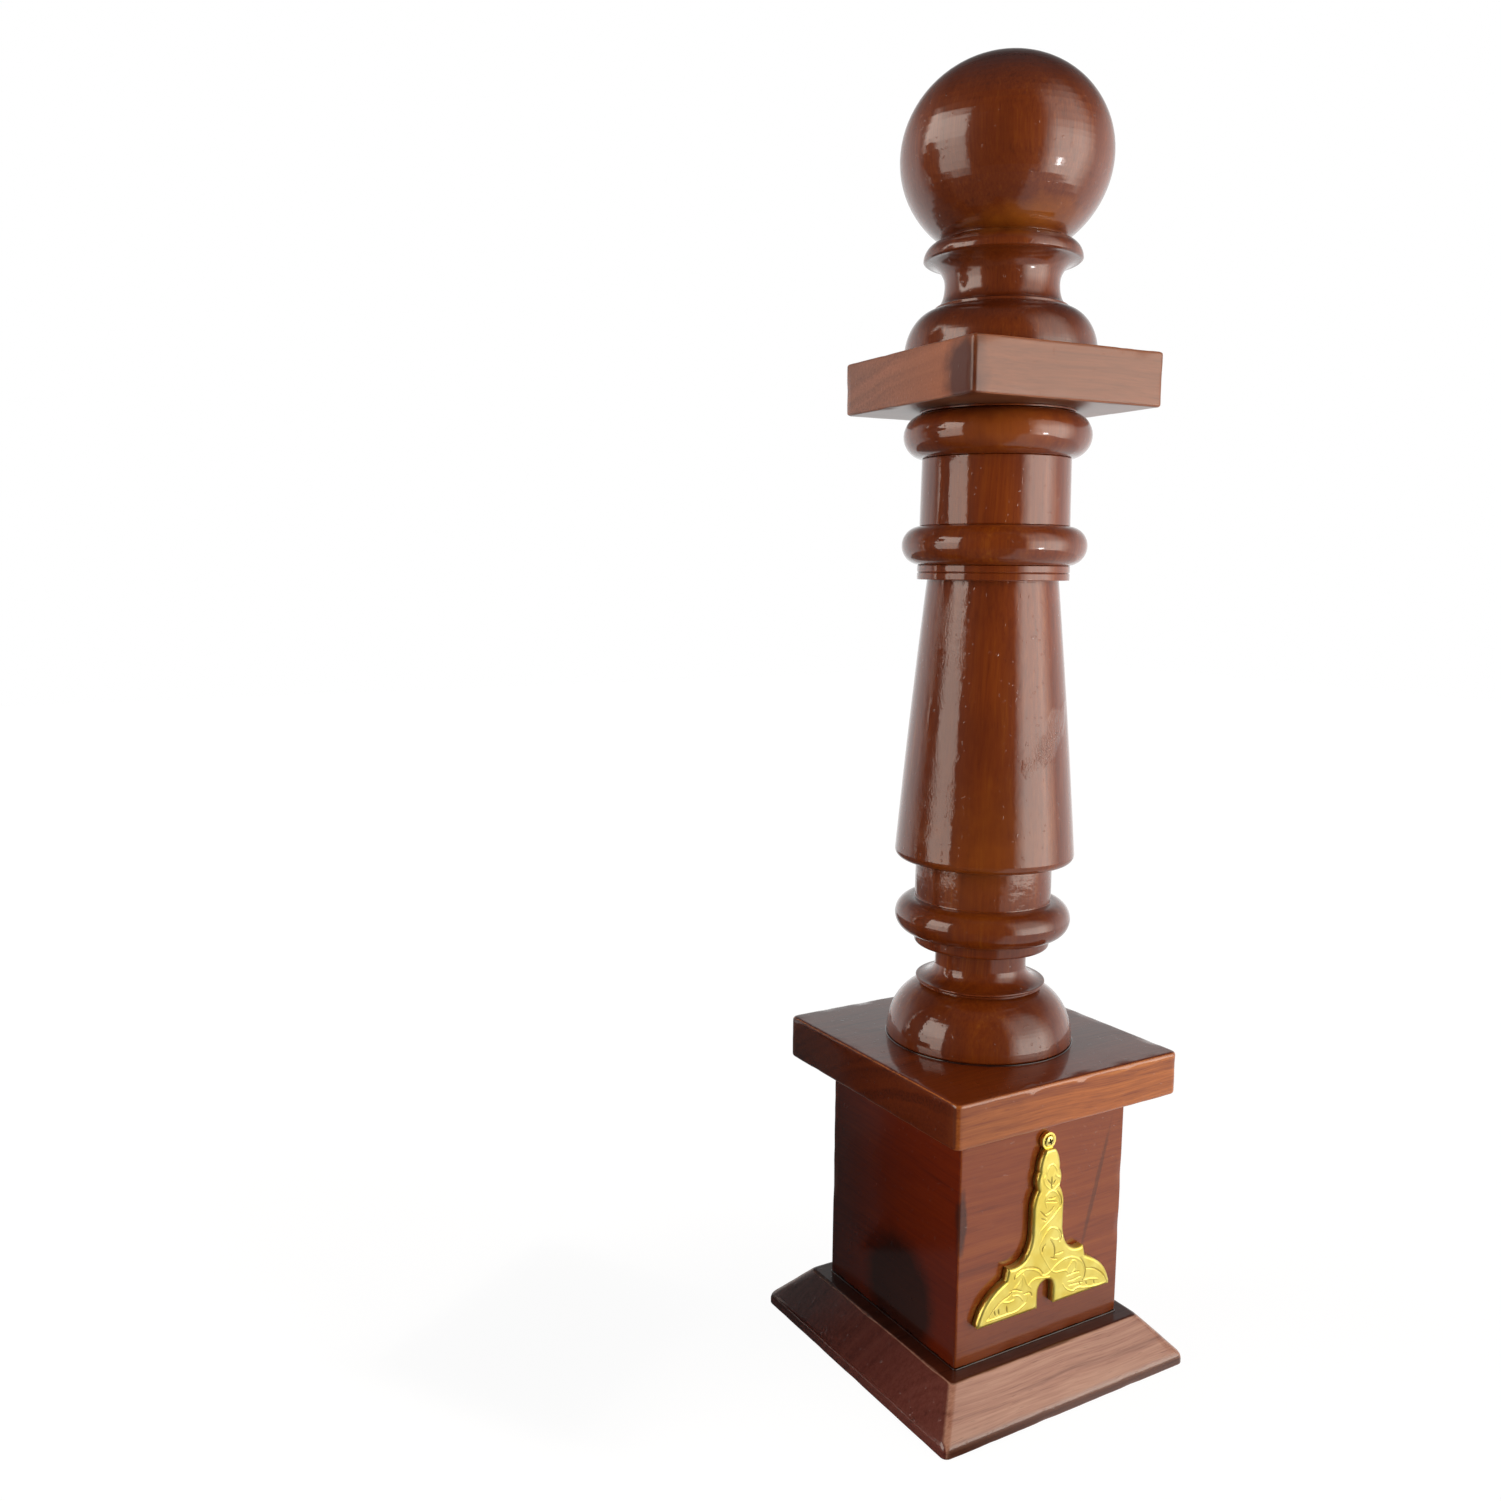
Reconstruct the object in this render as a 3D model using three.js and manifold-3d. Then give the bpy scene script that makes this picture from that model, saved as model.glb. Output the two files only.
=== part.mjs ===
// A varnished wooden column: a square pedestal, a turned shaft, an abacus and a ball finial,
// with a level emblem of gilt brass screwed to the pedestal's front.
// Millimetres, +Z up, the origin at the centre of the underside, the front towards -Y.

import * as THREE from 'three';
import { mergeVertices } from 'three/addons/utils/BufferGeometryUtils.js';
import Module from 'manifold-3d';

// Pedestal
const plinthWidth = 124;
const plinthHeight = 18.9;
const plinthLip = 4.1;
const plinthTopWidth = 96.8;
const dieWidth = 84.5;
const dieHeight = 95.5;
const capWidth = 112.1;
const capHeight = 17.8;
const plinthEase = 0.9;
const dieEase = 0.8;
const capEase = 1.0;
const glueLine = 0.1;

// Shaft, from its foot upwards
const footRadius = 37.7;
const footEdge = 0.8;
const footCrownRadius = 19.6;
const footCrownHeight = 21.7;
const quirkRadius = 24.0;
const quirkHeight = 0.6;
const ringRadius = 25.4;
const ringHeight = 0.7;
const discGap = 0.4;
const discRadius = 26.1;
const discEdge = 0.8;
const waistRadius = 18.4;
const waistCoveHeight = 6.5;
const waistHeight = 7.8;
const coveStart = 262;
const bandRadius = 27.2;
const bandEase = 1.3;
const bandHeight = 4.7;
const lowTorusRadius = 35.2;
const lowTorusTube = 7.2;
const drumRadius = 27.3;
const drumHeight = 16.2;
const shaftFootRadius = 35.8;
const shaftFootEase = 3.4;
const shaftTopRadius = 25.7;
const shaftHeight = 111.5;
const shaftSwell = 0.36;
const easeStart = -60;
const filletRadius = 29.7;
const filletHeight = 5.6;
const filletGroove = 0.5;
const midTorusRadius = 36.0;
const midTorusTube = 7.6;
const neckFootRadius = 29.2;
const neckTopRadius = 28.8;
const neckHeight = 25.7;
const topTorusRadius = 36.2;
const topTorusTube = 8.6;
const seatRadius = 30.0;
const seatHeight = 0.7;

// Abacus, glued on a little askew
const abacusWidth = 86.5;
const abacusHeight = 20.3;
const abacusEase = 1.0;
const abacusTurn = -3.8;

// Ball finial, from its foot upwards
const ovoloRadius = 36.8;
const ovoloCrownRadius = 24.0;
const ovoloHeight = 17.5;
const ovoloEnd = 82;
const ledgeRadius = 25.5;
const ledgeHeight = 1.0;
const throatRadius = 21.8;
const throatRise = 8.4;
const collarCove = 8.4;
const collarCoveStart = 160;
const collarCoveEnd = 92;
const collarRadius = 30.2;
const collarEdge = 0.6;
const collarCrown = 6.8;
const collarCrownStart = 20;
const collarCrownEnd = 80;
const creviceRadius = 23.3;
const creviceHeight = 0.5;
const ballRadius = 40.0;
const ballLowerHeight = 37.0;
const ballLowerStart = 4;
const ballUpperStart = 10;
const ballUpperHeight = 37.0;

// Emblem: its lift above the middle of the die, then half widths and heights of its outline
// from its foot upwards, with the draw of the curves between them
const emblemLift = 3.75;
const emblemThickness = 3.6;
const emblemEase = 0.5;
const tipHalf = 34.2;
const tipHeight = 1.3;
const sweepHalf = 20.4;
const sweepHeight = 15.6;
const sweepOut = 0.93;
const sweepOutRise = 0.62;
const sweepIn = 0.78;
const sweepInRise = 0.8;
const shoulderHalf = 19.2;
const shoulderHeight = 20.3;
const shoulderReach = 5;
const shoulderDip = 1.6;
const stemReach = 0.8;
const stemRise = 3;
const stemHalf = 7.6;
const stemHeight = 31;
const stemTopHeight = 42;
const lowNotchHalf = 5.2;
const lowNotchHeight = 48.7;
const notchDraw = 0.4;
const notchRise = 3;
const scallopHalf = 6.9;
const highNotchHalf = 4.9;
const highNotchHeight = 56;
const crestHalf = 2.4;
const crestReach = 0.5;
const crestRise = 2;
const crestShoulder = 1.2;
const crestCorner = 0.8;
const plateHeight = 64.7;
const archHalf = 4.3;
const archSpring = 6.6;
const lugRadius = 3.5;
const lugThickness = 1.9;
const lugEase = 0.3;
const lugOverlap = 0.6;
const engravingWidth = 0.9;
const engravingDepth = 0.4;

// Screw through the emblem's lug
const screwHeadRadius = 2.3;
const screwHeadCone = 1.3;
const screwHeadDome = 0.85;
const screwShankRadius = 1.1;
const shankLength = 10;
const pilotDepth = 10.5;
const recessWidth = 0.7;
const recessSpan = 2.4;
const recessDepth = 0.8;
const recessTurn = 20;
const screwClearance = 0.2;
const pilotClearance = 0.1;

// Fineness of the round work
const turningSides = 32;
const torusSteps = 6;
const ballSteps = 7;
const screwSides = 12;
const lugSides = 20;
const cornerSteps = 2;
const outlineSteps = 3;
const engravingSteps = 2;
const ballCapAngle = 80;
const screwCapAngle = 75;

// Heights where one piece rests on the next
const dieFoot = plinthHeight + glueLine;
const capFoot = dieFoot + dieHeight + glueLine;
const shaftFoot = capFoot + capHeight + glueLine;
const dieFront = -dieWidth / 2;
const emblemBack = dieFront - glueLine;
const lugHeight = plateHeight + lugRadius - lugOverlap;
const emblemHeight = lugHeight + lugRadius;
const emblemFoot = dieFoot + dieHeight / 2 + emblemLift - emblemHeight / 2;

const wasm = await Module();
wasm.setup();

function solidOf(geometry) {
  const bare = geometry.clone();
  bare.deleteAttribute('normal');
  bare.deleteAttribute('uv');
  const merged = mergeVertices(bare, 1e-4);
  return new wasm.Manifold(new wasm.Mesh({
    numProp: 3,
    vertProperties: new Float32Array(merged.attributes.position.array),
    triVerts: new Uint32Array(merged.index.array),
  }));
}

function geometryOf(solid) {
  const mesh = solid.getMesh();
  const geometry = new THREE.BufferGeometry();
  geometry.setAttribute('position', new THREE.BufferAttribute(mesh.vertProperties, 3));
  geometry.setIndex(new THREE.BufferAttribute(mesh.triVerts, 1));
  geometry.computeVertexNormals();
  return geometry;
}

// The outline of a turned piece, drawn from the axis at its foot upwards.
class Turning {
  constructor() {
    this.height = 0;
    this.points = [new THREE.Vector2(0, 0)];
  }

  to(radius, rise = 0) {
    this.height += rise;
    this.points.push(new THREE.Vector2(radius, this.height));
    return this;
  }

  // Part of an ellipse: its centre, its two half sizes, and its start and end in degrees.
  arc(centreRadius, centreHeight, halfWidth, halfHeight, from, to, steps) {
    for (let step = 0; step <= steps; step += 1) {
      const angle = THREE.MathUtils.degToRad(from + ((to - from) * step) / steps);
      const radius = centreRadius + halfWidth * Math.cos(angle);
      this.height = centreHeight + halfHeight * Math.sin(angle);
      this.points.push(new THREE.Vector2(radius, this.height));
    }
    return this;
  }

  // A half round that stands out to the radius, on a height of twice its tube.
  torus(radius, tube) {
    const centre = this.height + tube;
    this.arc(radius - tube, centre, tube, tube, -90, 90, torusSteps);
    return this;
  }

  geometry(sides) {
    this.points.push(new THREE.Vector2(0, this.height));
    return new THREE.LatheGeometry(this.points, sides).rotateX(Math.PI / 2);
  }
}

function turnedShaft() {
  const turning = new Turning();
  turning.to(footRadius - footEdge).to(footRadius, footEdge);
  const footReach = footRadius - footCrownRadius;
  const footEnd = THREE.MathUtils.radToDeg(Math.acos((quirkRadius - footCrownRadius) / footReach));
  turning.arc(footCrownRadius, footEdge, footReach, footCrownHeight, 0, footEnd, 7);
  turning.to(quirkRadius, quirkHeight);
  turning.to(ringRadius - discGap / 2).to(ringRadius, ringHeight / 2);
  turning.to(ringRadius - discGap / 2, ringHeight / 2);
  turning.to(ringRadius - discGap * 1.5).to(ringRadius - discGap * 1.5, discGap);
  turning.to(discRadius).to(discRadius, discEdge);
  const coveCentre = turning.height + waistCoveHeight;
  turning.arc(discRadius, coveCentre, discRadius - waistRadius, waistCoveHeight, coveStart, 180, 6);
  turning.to(waistRadius, waistHeight);
  const bandFoot = turning.height;
  turning.to(bandRadius - bandEase);
  turning.arc(bandRadius - bandEase, bandFoot + bandEase, bandEase, bandEase, easeStart, 0, 2);
  turning.to(bandRadius, bandHeight - bandEase);
  turning.torus(lowTorusRadius, lowTorusTube);
  turning.to(drumRadius).to(drumRadius, drumHeight);
  const shaftBottom = turning.height;
  turning.to(shaftFootRadius - shaftFootEase);
  turning.arc(shaftFootRadius - shaftFootEase, shaftBottom + shaftFootEase,
    shaftFootEase, shaftFootEase, easeStart, 0, 3);
  const taperSteps = 5;
  const taperRise = (shaftHeight - shaftFootEase) / taperSteps;
  for (let step = 1; step <= taperSteps; step += 1) {
    const share = step / taperSteps;
    const straight = THREE.MathUtils.lerp(shaftFootRadius, shaftTopRadius, share);
    turning.to(straight + 4 * shaftSwell * share * (1 - share), taperRise);
  }
  const filletBand = (filletHeight - filletGroove) / 2;
  turning.to(filletRadius).to(filletRadius, filletBand);
  turning.to(filletRadius - filletGroove, filletGroove / 2);
  turning.to(filletRadius, filletGroove / 2).to(filletRadius, filletBand);
  turning.torus(midTorusRadius, midTorusTube);
  turning.to(neckFootRadius).to(neckTopRadius, neckHeight);
  turning.torus(topTorusRadius, topTorusTube);
  turning.to(seatRadius).to(seatRadius, seatHeight);
  return turning;
}

function turnedFinial() {
  const turning = new Turning();
  turning.arc(ovoloCrownRadius, 0, ovoloRadius - ovoloCrownRadius, ovoloHeight, 0, ovoloEnd, 7);
  turning.to(ledgeRadius).to(ledgeRadius, ledgeHeight);
  const throat = turning.height + throatRise;
  turning.arc(ledgeRadius, throat, ledgeRadius - throatRadius, throatRise, coveStart, 180, 4);
  const rimRadius = collarRadius - collarEdge;
  turning.arc(rimRadius, throat, rimRadius - throatRadius, collarCove,
    collarCoveStart, collarCoveEnd, 4);
  turning.to(collarRadius, collarEdge);
  const collarReach = collarRadius - creviceRadius;
  turning.arc(creviceRadius, turning.height, collarReach, collarCrown,
    collarCrownStart, collarCrownEnd, 3);
  turning.to(creviceRadius, creviceHeight);
  const share = Math.sqrt(1 - (creviceRadius / ballRadius) ** 2);
  const ballCentre = turning.height + ballLowerHeight * share;
  const ballStart = -THREE.MathUtils.radToDeg(Math.asin(share));
  turning.arc(0, ballCentre, ballRadius, ballLowerHeight, ballStart + ballLowerStart, 0, ballSteps);
  turning.arc(0, ballCentre, ballRadius, ballUpperHeight, ballUpperStart, ballCapAngle, ballSteps);
  turning.to(0, ballUpperHeight * (1 - Math.sin(THREE.MathUtils.degToRad(ballCapAngle))));
  return turning;
}

function squareShape(width, corner) {
  const half = width / 2;
  const inner = half - corner;
  const shape = new THREE.Shape();
  shape.absarc(inner, inner, corner, 0, Math.PI / 2);
  shape.absarc(-inner, inner, corner, Math.PI / 2, Math.PI);
  shape.absarc(-inner, -inner, corner, Math.PI, Math.PI * 1.5);
  shape.absarc(inner, -inner, corner, Math.PI * 1.5, Math.PI * 2);
  return shape;
}

// A square board or block with its upright corners and both its rims eased.
function easedBlock(width, height, ease) {
  return new THREE.ExtrudeGeometry(squareShape(width, ease * 1.5), {
    depth: height - 2 * ease,
    curveSegments: cornerSteps,
    bevelEnabled: true,
    bevelThickness: ease,
    bevelSize: ease,
    bevelOffset: -ease,
    bevelSegments: 1,
  }).translate(0, 0, ease);
}

// The plinth: an upright lip, then four plain slopes up to a flat top.
function plinthGeometry() {
  const corner = Math.SQRT2;
  const slopes = new Turning();
  slopes.to((plinthWidth / 2) * corner);
  slopes.to((plinthWidth / 2) * corner, plinthLip);
  slopes.to((plinthTopWidth / 2) * corner, plinthHeight - plinthLip);
  const frustum = slopes.geometry(4).rotateZ(Math.PI / 4);
  const block = easedBlock(plinthWidth, plinthHeight * 2, plinthEase);
  return geometryOf(solidOf(block).intersect(solidOf(frustum)));
}

// The right half of the emblem's outline, from the crown of its arch round to its crest.
function emblemHalf() {
  const half = new THREE.Path();
  half.absarc(0, archSpring, archHalf, Math.PI / 2, 0, true);
  half.lineTo(archHalf, 0).lineTo(tipHalf, 0).lineTo(tipHalf, tipHeight);
  half.bezierCurveTo(tipHalf * sweepOut, sweepHeight * sweepOutRise, tipHalf * sweepIn,
    sweepHeight * sweepInRise, sweepHalf, sweepHeight);
  half.lineTo(shoulderHalf, shoulderHeight);
  half.bezierCurveTo(stemHalf + shoulderReach, shoulderHeight - shoulderDip,
    stemHalf + stemReach, shoulderHeight + stemRise, stemHalf, stemHeight);
  half.lineTo(stemHalf, stemTopHeight);
  half.quadraticCurveTo(stemHalf - notchDraw, lowNotchHeight - notchRise,
    lowNotchHalf, lowNotchHeight);
  half.quadraticCurveTo(scallopHalf, (lowNotchHeight + highNotchHeight) / 2,
    highNotchHalf, highNotchHeight);
  half.bezierCurveTo(highNotchHalf + crestReach, highNotchHeight + crestRise,
    crestHalf + crestShoulder, plateHeight, crestHalf - crestCorner, plateHeight);
  return half.getPoints(outlineSteps);
}

function emblemShape() {
  const right = emblemHalf();
  const left = right.slice(1).map((point) => new THREE.Vector2(-point.x, point.y)).reverse();
  return new THREE.Shape([...right, ...left]);
}

// The scrollwork cut into the emblem's face: a vine up the stem, and in each foot a scroll,
// a tendril and leaves. Every line is a list of places to the right of the emblem's middle
// line and above its foot.
const vine = [[0, 14], [-4.2, 19], [-4.4, 25], [-0.6, 29], [3.4, 33], [3.6, 38], [0.4, 42],
  [-2.4, 46], [-1.8, 50], [0.6, 54], [0.2, 59]];
const vineLeaves = [
  [[-1.6, 18.5], [-0.6, 22], [1.8, 25]],
  [[1.6, 19.5], [2.8, 22], [4.6, 24]],
  [[-1.8, 33], [-2.8, 36], [-4.4, 38]],
  [[0.6, 34], [-0.2, 37], [-1.6, 39.5]],
  [[2.2, 46], [1.4, 48.5], [2.6, 51]],
];
const footLines = [
  [[1.2, 13.4], [5.2, 16.6], [10, 16.4], [13.4, 12.8], [12.8, 7.6], [9, 4.8], [6.6, 7.4], [8.6, 9.8]],
  [[15.2, 12.8], [20.4, 11.2], [25.6, 8.4], [29.6, 3.4]],
  [[14.6, 9.6], [16.2, 5.4], [20.8, 3.2], [27, 2.8]],
  [[17.4, 9.8], [18.4, 7.8], [19, 5.6]],
  [[20.6, 8.8], [21.4, 7.2], [21.8, 5.2]],
  [[24, 7.2], [24.4, 6], [24.6, 4.6]],
];

// One line of the scrollwork: a channel of diamond section along a smooth curve.
function channel(places, side) {
  const points = places.map(([across, up]) => new THREE.Vector3(side * across, up, emblemThickness));
  const section = new THREE.Shape();
  section.moveTo(engravingDepth, 0).lineTo(0, engravingWidth / 2);
  section.lineTo(-engravingDepth, 0).lineTo(0, -engravingWidth / 2);
  return new THREE.ExtrudeGeometry(section, {
    steps: engravingSteps * (places.length - 1),
    extrudePath: new THREE.CatmullRomCurve3(points),
  });
}

function emblemGeometry() {
  const plate = new THREE.ExtrudeGeometry(emblemShape(), {
    depth: emblemThickness - 2 * emblemEase,
    bevelEnabled: true,
    bevelThickness: emblemEase,
    bevelSize: emblemEase,
    bevelOffset: -emblemEase,
    bevelSegments: 1,
  }).translate(0, 0, emblemEase);
  const lug = new Turning();
  lug.to(lugRadius).to(lugRadius, lugThickness - lugEase).to(lugRadius - lugEase, lugEase);
  const hole = new Turning();
  hole.to(screwShankRadius + screwClearance);
  hole.to(screwShankRadius + screwClearance, 1 + lugThickness - screwHeadCone);
  hole.to(screwHeadRadius + screwClearance, screwHeadCone);
  hole.to(screwHeadRadius + screwClearance, 1);
  let emblem = solidOf(plate).add(solidOf(lug.geometry(lugSides).translate(0, lugHeight, 0)));
  emblem = emblem.subtract(solidOf(hole.geometry(lugSides).translate(0, lugHeight, -1)));
  const lines = [vine, ...vineLeaves].map((places) => channel(places, 1));
  for (const side of [-1, 1]) lines.push(...footLines.map((places) => channel(places, side)));
  for (const line of lines) emblem = emblem.subtract(solidOf(line));
  return geometryOf(emblem).rotateX(Math.PI / 2);
}

// A raised countersunk screw with a cross recess, its head seated in the lug.
function screwGeometry() {
  const screw = new Turning();
  screw.to(screwShankRadius * 0.6).to(screwShankRadius, screwShankRadius);
  screw.to(screwShankRadius, shankLength - screwShankRadius + lugThickness - screwHeadCone);
  screw.to(screwHeadRadius, screwHeadCone);
  screw.arc(0, screw.height, screwHeadRadius, screwHeadDome, 15, screwCapAngle, 3);
  screw.to(0, screwHeadDome * (1 - Math.sin(THREE.MathUtils.degToRad(screwCapAngle))));
  const top = shankLength + lugThickness + screwHeadDome;
  let head = solidOf(screw.geometry(screwSides));
  for (const quarter of [0, 90]) {
    const slot = new THREE.BoxGeometry(recessWidth, recessSpan, recessDepth * 2);
    slot.rotateZ(THREE.MathUtils.degToRad(recessTurn + quarter)).translate(0, 0, top);
    head = head.subtract(solidOf(slot));
  }
  return geometryOf(head).translate(0, 0, -shankLength).rotateX(Math.PI / 2);
}

// The die, with the pilot hole that the screw goes into.
function dieGeometry() {
  const pilot = new Turning();
  pilot.to(screwShankRadius + pilotClearance);
  pilot.to(screwShankRadius + pilotClearance, pilotDepth + 1);
  const hole = pilot.geometry(screwSides).rotateX(Math.PI / 2);
  hole.translate(0, dieFront + pilotDepth, emblemFoot + lugHeight - dieFoot);
  const block = easedBlock(dieWidth, dieHeight, dieEase);
  return geometryOf(solidOf(block).subtract(solidOf(hole)));
}

function wood(color) {
  return new THREE.MeshStandardMaterial({ color, roughness: 0.25, metalness: 0 });
}

function brass(color) {
  return new THREE.MeshStandardMaterial({ color, roughness: 0.3, metalness: 1 });
}

const column = new THREE.Group();

function place(name, geometry, material, height = 0, forward = 0) {
  const mesh = new THREE.Mesh(geometry, material);
  mesh.name = name;
  mesh.position.set(0, forward, height);
  column.add(mesh);
  return mesh;
}

const shaft = turnedShaft();
const finial = turnedFinial();
const abacusFoot = shaftFoot + shaft.height + glueLine;
const finialFoot = abacusFoot + abacusHeight + glueLine;

place('base_plinth', plinthGeometry(), wood('#6b3216'));
place('pedestal_die', dieGeometry(), wood('#5a2a14'), dieFoot);
place('pedestal_cap', easedBlock(capWidth, capHeight, capEase), wood('#6b3216'), capFoot);
place('column_shaft', shaft.geometry(turningSides), wood('#70350f'), shaftFoot);
const abacusBoard = easedBlock(abacusWidth, abacusHeight, abacusEase);
const abacus = place('abacus', abacusBoard, wood('#6b3420'), abacusFoot);
abacus.rotation.z = THREE.MathUtils.degToRad(abacusTurn);
place('ball_finial', finial.geometry(turningSides), wood('#64300f'), finialFoot);
place('level_emblem', emblemGeometry(), brass('#d8bc48'), emblemFoot, emblemBack);
place('emblem_screw', screwGeometry(), brass('#d2bb55'), emblemFoot + lugHeight, emblemBack);

export default column;
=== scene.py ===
import math

import bmesh
import bpy
from mathutils import Matrix, Vector, kdtree, noise
from mathutils.geometry import delaunay_2d_cdt


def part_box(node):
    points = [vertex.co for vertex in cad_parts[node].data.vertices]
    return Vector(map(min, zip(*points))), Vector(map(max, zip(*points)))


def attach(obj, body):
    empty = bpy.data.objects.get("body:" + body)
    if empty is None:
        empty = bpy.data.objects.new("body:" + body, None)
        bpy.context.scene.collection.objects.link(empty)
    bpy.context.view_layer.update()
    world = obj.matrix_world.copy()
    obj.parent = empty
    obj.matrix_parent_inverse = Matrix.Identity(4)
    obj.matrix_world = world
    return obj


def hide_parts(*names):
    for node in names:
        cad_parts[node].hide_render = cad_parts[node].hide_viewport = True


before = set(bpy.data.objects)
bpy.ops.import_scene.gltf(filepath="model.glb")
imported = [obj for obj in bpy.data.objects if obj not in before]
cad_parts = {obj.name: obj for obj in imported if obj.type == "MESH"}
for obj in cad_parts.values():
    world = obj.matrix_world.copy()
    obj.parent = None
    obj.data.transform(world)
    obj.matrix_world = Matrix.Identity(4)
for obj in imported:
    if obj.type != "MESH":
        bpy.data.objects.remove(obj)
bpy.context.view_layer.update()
mm = 0.001
print("frame loaded:", len(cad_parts), "solids")


def fromHex(text):
    # sRGB hex to the linear colour that shaders work in
    parts = [int(text[i:i + 2], 16) / 255 for i in (1, 3, 5)]
    return [c / 12.92 if c <= 0.04045 else ((c + 0.055) / 1.055) ** 2.4 for c in parts] + [1.0]


def addNode(tree, kind, inputs=None, stops=None, **settings):
    # inputs are values, sockets or nodes (their first live output), stops are a ramp's colours
    node = tree.nodes.new(kind)
    for name, value in settings.items():
        setattr(node, name, value)
    for key, value in (inputs or {}).items():
        if isinstance(value, bpy.types.Node):
            value = next(output for output in value.outputs if output.enabled)
        if isinstance(value, bpy.types.NodeSocket):
            tree.links.new(value, node.inputs[key])
        else:
            node.inputs[key].default_value = value
    if stops:
        elements = node.color_ramp.elements
        while len(elements) < len(stops):
            elements.new(0.5)
        for element, (place, colour) in zip(elements, stops):
            element.position = place
            element.color = fromHex(colour) if isinstance(colour, str) else (colour,) * 3 + (1,)
    return node


def addObject(name, data):
    thing = bpy.data.objects.new(name, data)
    bpy.context.scene.collection.objects.link(thing)
    return thing


def newMaterial(name):
    # returns the material, its empty tree and the object coordinates
    material = bpy.data.materials.new(name)
    material.use_nodes = True
    material.node_tree.nodes.clear()
    place = addNode(material.node_tree, "ShaderNodeTexCoord").outputs["Object"]
    return material, material.node_tree, place


# Camera: where the photograph was taken from, in the column's own frame
cameraLook = {
    "x": -350.49, "y": -408.95, "height": 321.74,
    "heading": -30.458, "tiltDown": 7.783, "roll": 0.476,
    "lens": 31.979, "sensor": 36,
}


def makeCamera(look):
    camera = addObject("camera", bpy.data.cameras.new("camera"))
    camera.data.lens = look["lens"]
    camera.data.sensor_width = look["sensor"]
    camera.data.clip_start = 0.01
    turn = Matrix.Rotation(math.radians(look["heading"]), 4, "Z")
    turn @= Matrix.Rotation(math.radians(90 - look["tiltDown"]), 4, "X")
    turn @= Matrix.Rotation(math.radians(look["roll"]), 4, "Z")
    place = Vector((look["x"], look["y"], look["height"])) * mm
    camera.matrix_world = Matrix.Translation(place) @ turn
    bpy.context.scene.camera = camera


makeCamera(cameraLook)
bpy.context.scene.view_settings.view_transform = "Standard"  # keeps the stain as red as it is


# Studio: a broad window on the right, a narrower one on the left, a small lamp low on the
# right, and a pale backdrop that darkens upwards. Bearings go from the camera's side round to
# the right, and heights are the sine of the angle above level. The backdrop begins where the
# way to the camera's side falls through "behind", and goes all round from "ceiling" up.
lowest = -0.5  # the lowest height that the windows' ramps reach
studio = {
    "facing": -40.6, "room": 0.05, "backdropGlow": 1.05,
    "behind": (-0.12, -0.34), "ceiling": (0.78, 0.9),
    "backdrop": [(0.0, 1.0), (0.15, 0.84), (0.35, 0.64), (0.55, 0.18), (0.8, 0.06), (0.92, 0.1)],
    "windows": {
        "right": {"from": 38, "to": 108, "edge": 17, "fade": 22, "glow": 5.0, "tint": "#fff6ec",
                  "heights": [(0.0, 1.0), (0.2, 0.95), (0.42, 0.45), (0.7, 0.3), (0.9, 0.0)]},
        "left": {"from": -100, "to": -42, "edge": 6, "fade": 2, "glow": 4.9, "tint": "#fff3e7",
                 "heights": [(-0.48, 0.2), (-0.3, 0.65), (0.1, 0.72), (0.25, 1.0), (0.55, 1.0),
                             (0.64, 0.0)]},
        "lamp": {"from": 57, "to": 65, "edge": 2, "fade": 2, "glow": 34, "tint": "#ffffff",
                 "heights": [(-0.35, 0.0), (-0.32, 1.0), (-0.26, 1.0), (-0.23, 0.0)]},
    },
}


def towards(bearing):
    turn = math.radians(studio["facing"] - 90 + bearing)
    return Vector((math.cos(turn), math.sin(turn), 0))


def byHeight(stops):
    # the ramps run from 30 degrees below level, past the table's far edge, to straight up
    return [((sine - lowest) / (1 - lowest), value) for sine, value in stops]


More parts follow.
